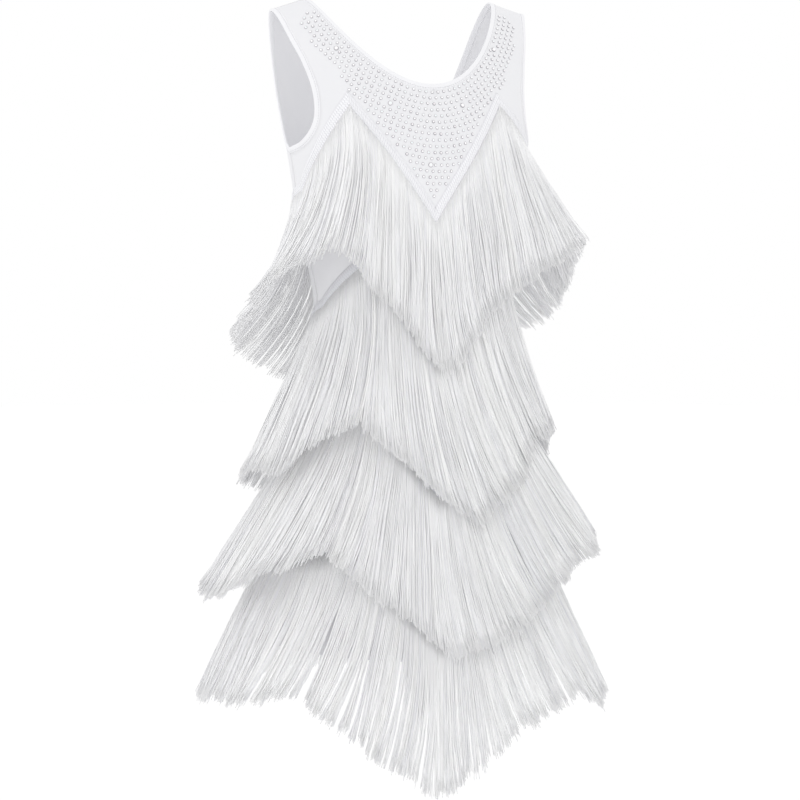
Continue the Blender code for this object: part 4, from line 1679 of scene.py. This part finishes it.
    def drawn(self, rng: np.random.Generator) -> Strands:
        """Draw the strands, the locks that they gather in and the waves that run through them.

        Args:
            rng: where each draw comes from, in an order that stays the same.

        Returns:
            The strands.
        """
        style, count = self.style, self.strands
        angles, lengths = self.along_braid(self.root_step)
        total = lengths[-1]
        index = np.arange(count)
        on_top = index % style.top_every == 0
        jitter = rng.uniform(-0.5, 0.5, count) * np.where(on_top, style.top_jitter, 1.0)
        place = (index + 0.5 + jitter) / count * total
        edges = np.cumsum(rng.uniform(style.narrow, style.wide, int(total / style.narrow) + 2))
        edges = np.concatenate([[0.0], edges[edges < total], [total]])
        locks = len(edges) - 1
        lock = np.clip(np.searchsorted(edges, place) - 1, 0, locks - 1)
        middle = (edges[lock] + edges[lock + 1]) / 2.0
        aside = (place - middle) / np.maximum((edges[lock + 1] - edges[lock]) / 2.0, style.least_half)
        root = np.interp(place, lengths, angles)
        held = (rng.uniform(0.0, 1.0, count) >= style.loose).astype(float)

        def by_lock(spread: float) -> Array:
            """A draw for each lock, the same for all its strands."""
            return rng.normal(0.0, spread, locks)[lock]

        lock_lift = np.clip(by_lock(style.lift_spread), style.lowest_lift, style.highest_lift) * held
        lock_sway = by_lock(style.sway_spread) * held
        lock_bow = by_lock(style.bow_spread) * held
        lock_short = by_lock(style.lock_ragged)
        lock_shade = by_lock(style.shade_spread) * held
        stray = rng.uniform(0.0, 1.0, count) < style.stray
        stray_sway = np.where(stray, rng.normal(0.0, style.stray_sway, count), 0.0)
        layer = rng.uniform(0.0, 1.0, count)
        layer = np.where(on_top, style.top_layer + style.top_layers * layer, style.low_layers * layer)
        length = self.tier.strand_length(root) + lock_short + rng.normal(0.0, style.ragged, count)
        phase = rng.uniform(0.0, 2.0 * math.pi, (3, count))     # the third row is a spare
        turns = rng.uniform(*style.wave_turns, (2, count))
        wave = style.wave * rng.uniform(*style.wave_range, (2, count))
        splay = rng.normal(0.0, style.splay, (2, count))
        fold = style.fold_rise * broad_waves(rng, place, style.fold_width)
        flow_sway = style.flow_sway * broad_waves(rng, place, style.flow_width)
        flow_bow = style.flow_bow * broad_waves(rng, place, style.flow_width)
        # strands on top get painted light, a lighter colour than the ones beneath them
        shade = style.shade + style.top_strand_painted_light * on_top + lock_shade
        shade = np.clip(shade + rng.normal(0.0, style.shade_spread, count), style.least_shade, 1.0)
        lift, bend = self.tier.flare(root)
        return Strands(
            root=root,
            lock_angle=root + (np.interp(middle, lengths, angles) - root) * held,
            aside=aside,
            held=held,
            layer=layer * np.where(held > 0.0, 1.0, style.loose_layers),
            length=length,
            away=lift + lock_lift + fold,
            bend=bend,
            sway=lock_sway + stray_sway + flow_sway,
            bow=lock_bow + flow_bow,
            wave=wave,
            turns=turns,
            phase=phase[:2],
            splay=splay,
            shade=shade,
        )

    def swing(self, root: Array) -> Array:
        """How far the ends of strands are carried round the body.

        Args:
            root: angles of their roots.

        Returns:
            Degrees for each strand.
        """
        tier = self.tier
        most = np.where(root % 360.0 > 180.0, tier.right_swing, tier.left_swing)
        from_front = np.minimum(90.0, tier.turn(root) * self.drift_narrowness)
        drift = tier.drift * np.maximum(0.0, np.cos(np.radians(from_front)))
        return most * np.sin(np.radians(2.0 * root)) + drift

    def placed(self, strands: Strands, swing: Array, share: float, level: Array) -> tuple[Array, Array]:
        """Where the strands are at a share of their length.

        Args:
            strands: the strands.
            swing: degrees that each one's end is carried round the body.
            share: of the length, from the root.
            level: the height of each there.

        Returns:
            Their points, and the level direction outwards at each.
        """
        style, root = self.style, strands.root
        gathered = smooth_step((share - style.gather_from) / (style.gather_by - style.gather_from))
        angle = root + swing * share ** self.swing_bend
        angle = angle + (strands.lock_angle - root) * style.gather * gathered
        half_width, front, back = self.form.section(level)[:3]
        turn = np.radians(angle)
        depth = np.where(np.cos(turn) >= 0.0, front, back)
        outward = np.stack([np.sin(turn) / half_width, -np.cos(turn) / depth, np.zeros_like(turn)], axis=1)
        outward = normalised(outward)
        away = np.maximum(strands.away, self.least_away) * share ** strands.bend
        spread = smooth_step(share / style.spread_by)
        offset = self.braid_offset + self.root_offset + away + self.layer_rise * strands.layer
        offset = offset + spread * style.depth * (strands.layer - style.layer_centre)
        offset = offset + spread * style.crown * strands.held * (1.0 - strands.aside ** 2)
        point = self.form.surface(angle, self.form.pattern_height(angle, level))
        return point + outward * offset[:, None], outward

    def hung(self, strands: Strands) -> tuple[Array, Array, Array]:
        """Let the strands hang from the braid, in short steps that keep their length.

        Args:
            strands: the strands.

        Returns:
            Points, strand by strand, the outward direction at each, and their shares of the length.
        """
        root = strands.root
        swing = self.swing(root)
        height = self.tier.height(root) - self.tier.half_height(self.form, root) + self.root_depth
        piece = strands.length / self.substeps
        point, outward = self.placed(strands, swing, 0.0, height)
        points, outwards, shares = [point], [outward], [0.0]
        for step in range(1, self.substeps + 1):
            share = step / self.substeps
            moved = self.placed(strands, swing, share, height)[0]
            sideways = np.hypot(moved[:, 0] - point[:, 0], moved[:, 1] - point[:, 1])
            fall = np.maximum(piece ** 2 - sideways ** 2, (self.least_fall * piece) ** 2)
            height = height - np.sqrt(fall)
            point, outward = self.placed(strands, swing, share, height)
            if step % self.kept_every == 0:
                points.append(point)
                outwards.append(outward)
                shares.append(share)
        return np.stack(points, axis=1), np.stack(outwards, axis=1), np.array(shares)

    def centre_lines(self, strands: Strands) -> tuple[Array, Array]:
        """The strands as they hang, with their sway and their own waves.

        Args:
            strands: the strands.

        Returns:
            Points, strand by strand, and the level outward direction at each.
        """
        style = self.style
        line, out, share = self.hung(strands)
        tangent = np.stack([-out[..., 1], out[..., 0], np.zeros(out.shape[:2])], axis=-1)
        free = smooth_step(share / style.free_by)
        tip = np.clip((share - style.splay_from) / (1.0 - style.splay_from), 0.0, 1.0)
        cycle = 2.0 * math.pi * strands.turns[..., None] * share + strands.phase[..., None]
        waves = strands.wave[..., None] * free * np.sin(cycle)
        sway = strands.sway[:, None] * share ** style.sway_bend
        sway = sway + strands.bow[:, None] * np.sin(math.pi * share)
        sway = sway + waves[0] + strands.splay[0][:, None] * tip
        rise = waves[1] + np.abs(strands.splay[1])[:, None] * tip
        return line + tangent * sway[..., None] + out * rise[..., None], out

    def tubes(self, line: Array, out: Array, rng: np.random.Generator) -> tuple[Array, list[Array], Array]:
        """Tubes along the strands, closed at both ends.

        Args:
            line: points, strand by strand.
            out: the outward direction at each.
            rng: turns each tube about its own line.

        Returns:
            Points, faces and UV places.
        """
        count, stations = line.shape[:2]
        ahead = normalised(np.gradient(line, axis=1))
        side = normalised(np.cross(ahead, out))
        front = np.cross(side, ahead)
        radius = np.full(stations, self.radius)
        radius[-1] *= self.tip_share
        corner = np.arange(self.sides) * 2.0 * math.pi / self.sides
        phase = rng.uniform(0.0, 2.0 * math.pi, count)[:, None] + corner
        ring = (
            front[:, :, None, :] * np.cos(phase)[:, None, :, None]
            + side[:, :, None, :] * np.sin(phase)[:, None, :, None]
        ) * radius[None, :, None, None]
        points = (line[:, :, None, :] + ring).reshape(-1, 3)
        wall = grid_faces(stations, self.sides, wrap_columns=True)[:, ::-1]
        first = np.arange(self.sides)
        caps = np.array([first[::-1], (stations - 1) * self.sides + first])
        offsets = (np.arange(count) * stations * self.sides)[:, None, None]
        faces = [(block[None] + offsets).reshape(-1, block.shape[1]) for block in (wall, caps)]
        steps = np.linalg.norm(np.diff(line, axis=1), axis=-1)
        travelled = np.concatenate([np.zeros((count, 1)), np.cumsum(steps, axis=1)], axis=1)
        around = np.arange(self.sides) * 2.0 * self.radius
        uv = np.stack(np.broadcast_arrays(around, travelled[:, :, None]), axis=-1)
        return points, faces, uv.reshape(-1, 2)

    def build(self) -> bpy.types.Object:
        """Make the braid and its strands as one piece.

        Returns:
            The object.
        """
        rng = np.random.default_rng(100 * self.tier.number + int(self.centre))
        braid_points, braid_faces, braid_uv, braid_tint = self.braid_mesh()
        strands = self.drawn(rng)
        line, out = self.centre_lines(strands)
        points, faces, uv = self.tubes(line, out, rng)
        faces = [*braid_faces, *(block + len(braid_points) for block in faces)]
        piece = mesh_object(self.name, np.concatenate([braid_points, points]), faces)
        add_uv(piece, np.concatenate([braid_uv, uv]))
        add_tint(piece, np.concatenate([braid_tint, np.repeat(strands.shade, line.shape[1] * self.sides)]))
        return piece


# ---------------------------------------------------------------- studio

@dataclass
class Studio:
    """A white paper floor, even light from all round, one soft key light and the camera."""

    floor_height: float = -1400.0
    floor_radius: float = 9000.0
    room_light: float = 1.0
    key_place: tuple[float, float, float] = (-2200.0, -2600.0, 1500.0)
    key_target: tuple[float, float, float] = (0.0, 0.0, -450.0)
    key_size: float = 1600.0
    key_power: float = 10.0         # watts
    camera_place: tuple[float, float, float] = (-1048.9, -2606.1, -170.0)
    camera_azimuth: float = 22.0    # degrees, turned from +Y towards +X
    camera_tilt: float = 5.9        # degrees down
    camera_lens: float = 109.1
    camera_sensor: float = 36.0
    camera_shift: float = -0.0025
    camera_reach: float = 100.0     # metres

    def build_floor(self) -> None:
        """The floor, a round sheet of paper far wider than the view."""
        bpy.ops.object.select_all(action="DESELECT")
        bpy.ops.mesh.primitive_circle_add(
            vertices=64, radius=self.floor_radius * MM, fill_type="NGON",
            location=(0.0, 0.0, self.floor_height * MM),
        )
        floor = bpy.context.active_object
        floor.name = "paper_floor"
        bpy.ops.object.transform_apply(location=True)
        floor.data.materials.append(StudioPaper().make())

    def build_light(self) -> None:
        """The room's light and the key light."""
        world = bpy.data.worlds.new("white_room")
        world.use_nodes = True
        background = world.node_tree.nodes["Background"]
        background.inputs["Color"].default_value = (1.0, 1.0, 1.0, 1.0)
        background.inputs["Strength"].default_value = self.room_light
        bpy.context.scene.world = world
        key = bpy.data.lights.new("key_softbox", "AREA")
        key.shape = "DISK"
        key.size = self.key_size * MM
        key.energy = self.key_power
        lamp = bpy.data.objects.new("key_softbox", key)
        place, target = (np.array(p) * MM for p in (self.key_place, self.key_target))
        lamp.location = place
        lamp.rotation_mode = "QUATERNION"
        lamp.rotation_quaternion = direction_to(target - place)
        bpy.context.scene.collection.objects.link(lamp)

    def build_camera(self) -> None:
        """The camera at the front, a little to the wearer's right."""
        data = bpy.data.cameras.new("camera")
        data.lens = self.camera_lens
        data.sensor_width = self.camera_sensor
        data.shift_x = self.camera_shift
        data.clip_end = self.camera_reach
        camera = bpy.data.objects.new("camera", data)
        azimuth, tilt = math.radians(self.camera_azimuth), math.radians(self.camera_tilt)
        camera.location = np.array(self.camera_place) * MM
        camera.rotation_mode = "QUATERNION"
        ahead = (math.sin(azimuth) * math.cos(tilt), math.cos(azimuth) * math.cos(tilt), -math.sin(tilt))
        camera.rotation_quaternion = direction_to(np.array(ahead))
        bpy.context.scene.collection.objects.link(camera)
        bpy.context.scene.camera = camera

    def build(self) -> None:
        """Everything that isn't the dress."""
        self.build_floor()
        self.build_light()
        self.build_camera()
        view = bpy.context.scene.view_settings
        view.view_transform = "Standard"
        view.look = "None"


def direction_to(direction: Array) -> Quaternion:
    """The turn that points a light's or a camera's own -Z along a direction, with its X level."""
    return Vector(direction).to_track_quat("-Z", "Y")


# ---------------------------------------------------------------- the dress

FRONT_CREASES = (
    Crease(-68.0, -205.0, 120.0, 28.0, 7.0, -0.8),
    Crease(-74.0, -215.0, 95.0, 20.0, 5.0, 0.5),
    Crease(-56.0, -120.0, 70.0, 55.0, 6.0, -0.5),
    Crease(62.0, -200.0, 110.0, -30.0, 8.0, -0.8),
    Crease(71.0, -225.0, 90.0, -18.0, 5.0, 0.5),
    Crease(54.0, -118.0, 60.0, -55.0, 6.0, -0.5),
    Crease(-78.0, -330.0, 80.0, 80.0, 6.0, -0.7),
    Crease(76.0, -345.0, 90.0, -78.0, 7.0, -0.7),
    Crease(-22.0, -705.0, 90.0, 4.0, 9.0, 0.7),
    Crease(31.0, -700.0, 110.0, -5.0, 11.0, -0.8),
    Crease(-58.0, -690.0, 120.0, 7.0, 10.0, -0.9),
    Crease(64.0, -695.0, 105.0, -6.0, 9.0, 0.8),
)
BACK_CREASES = (
    Crease(118.0, -205.0, 110.0, -35.0, 8.0, -0.8),
    Crease(243.0, -210.0, 120.0, 33.0, 7.0, -0.8),
    Crease(128.0, -150.0, 70.0, -20.0, 6.0, 0.5),
    Crease(231.0, -155.0, 60.0, 22.0, 6.0, 0.5),
    Crease(160.0, -345.0, 100.0, 72.0, 7.0, -0.9),
    Crease(204.0, -352.0, 85.0, -74.0, 6.0, -0.8),
    Crease(176.0, -368.0, 120.0, 86.0, 6.0, 0.6),
    Crease(150.0, -700.0, 110.0, 5.0, 10.0, 0.9),
    Crease(198.0, -695.0, 120.0, -4.0, 9.0, -0.9),
    Crease(225.0, -705.0, 90.0, 6.0, 9.0, 0.8),
)


def settle(
    piece: bpy.types.Object, material: bpy.types.Material, nodes: tuple[str, ...],
) -> None:
    """Dress a piece, put it on the body and hide the solids that it stands for.

    Args:
        piece: the piece.
        material: its finish.
        nodes: the solids that it replaces.
    """
    piece.data.materials.append(material)
    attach(piece, BODY)
    if nodes:
        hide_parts(*nodes)
    triangles = sum(len(face.vertices) - 2 for face in piece.data.polygons)
    LOG.info("%s: %d triangles", piece.name, triangles)


@dataclass
class Dress:
    """The whole dress."""

    form: DressForm = field(default_factory=DressForm)
    cloth_size: tuple[float, float] = (0.52, 0.78)              # metres, before a panel is cut
    front_area: float = 0.29                                    # square metres, once cut
    back_area: float = 0.27
    front_strands: tuple[int, ...] = (1750, 1750, 1750, 1500)   # of each tier, the first on top
    back_strands: tuple[int, ...] = (760, 900, 950, 950)

    def build_bindings(
        self, knit: bpy.types.Material, thread: bpy.types.Material,
    ) -> list[bpy.types.Object]:
        """Make the three folded strips and their stitching.

        Args:
            knit: the strips' finish.
            thread: the stitches' finish.

        Returns:
            The pieces.
        """
        pieces = []
        bindings = (
            (neck_binding(self.form), "neck_binding"),
            (armhole_binding(self.form, WearerSide.RIGHT), "right_armhole_binding"),
            (armhole_binding(self.form, WearerSide.LEFT), "left_armhole_binding"),
        )
        for binding, node in bindings:
            strip = binding.build()
            settle(strip, knit, (node,))
            seam = Stitching(binding.name.replace("binding", "stitching"))
            stitches = seam.build(*binding.stitch_places())
            settle(stitches, thread, ())
            pieces += [strip, stitches]
        return pieces

    def build_fringes(
        self, yarn: bpy.types.Material, side: str, cut: Cut, counts: tuple[int, ...],
    ) -> list[bpy.types.Object]:
        """Make the four tiers of one panel.

        Args:
            yarn: their finish.
            side: front or back.
            cut: the panel's.
            counts: strands of each tier.

        Returns:
            The pieces.
        """
        pieces = []
        for tier, count in zip(TIERS, counts):
            node = f"{side}_fringe_{tier.number}"
            style = FULL_LOCKS if cut is FRONT_CUT and tier is not TIERS[-1] else AIRY_LOCKS
            piece = Fringe(f"{node}_strands", self.form, tier, cut.centre, count, style).build()
            settle(piece, yarn, (node,))
            pieces.append(piece)
        return pieces

    def build(self) -> None:
        """All of it."""
        knit = StretchKnit().make()
        folded_knit = StretchKnit(
            name="folded_white_knit", shade="#DFDFE2", shade_light="#E4E4E6", wale=1.1,
        ).make()
        yarn = Chainette().make()
        edges = self.build_bindings(folded_knit, SewingThread().make())
        stones = Rhinestones(self.form).build(TIERS[0])
        settle(stones, Rhinestone().make(), ())
        panels = (
            ("front", FRONT_CUT, FRONT_CREASES, self.front_area, self.front_strands, [*edges, stones]),
            ("back", BACK_CUT, BACK_CREASES, self.back_area, self.back_strands, []),
        )
        for side, cut, creases, area, counts, trims in panels:
            node = f"{side}_panel"
            cloth = Panel(f"{side}_cloth", self.form, cut, creases).build()
            settle(cloth, knit, (node,))
            fringes = self.build_fringes(yarn, side, cut, counts)


def main() -> None:
    """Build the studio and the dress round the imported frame."""
    logging.basicConfig(level=logging.INFO, format="%(message)s")
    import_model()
    Studio().build()
    Dress().build()


if __name__ == "__main__":
    main()
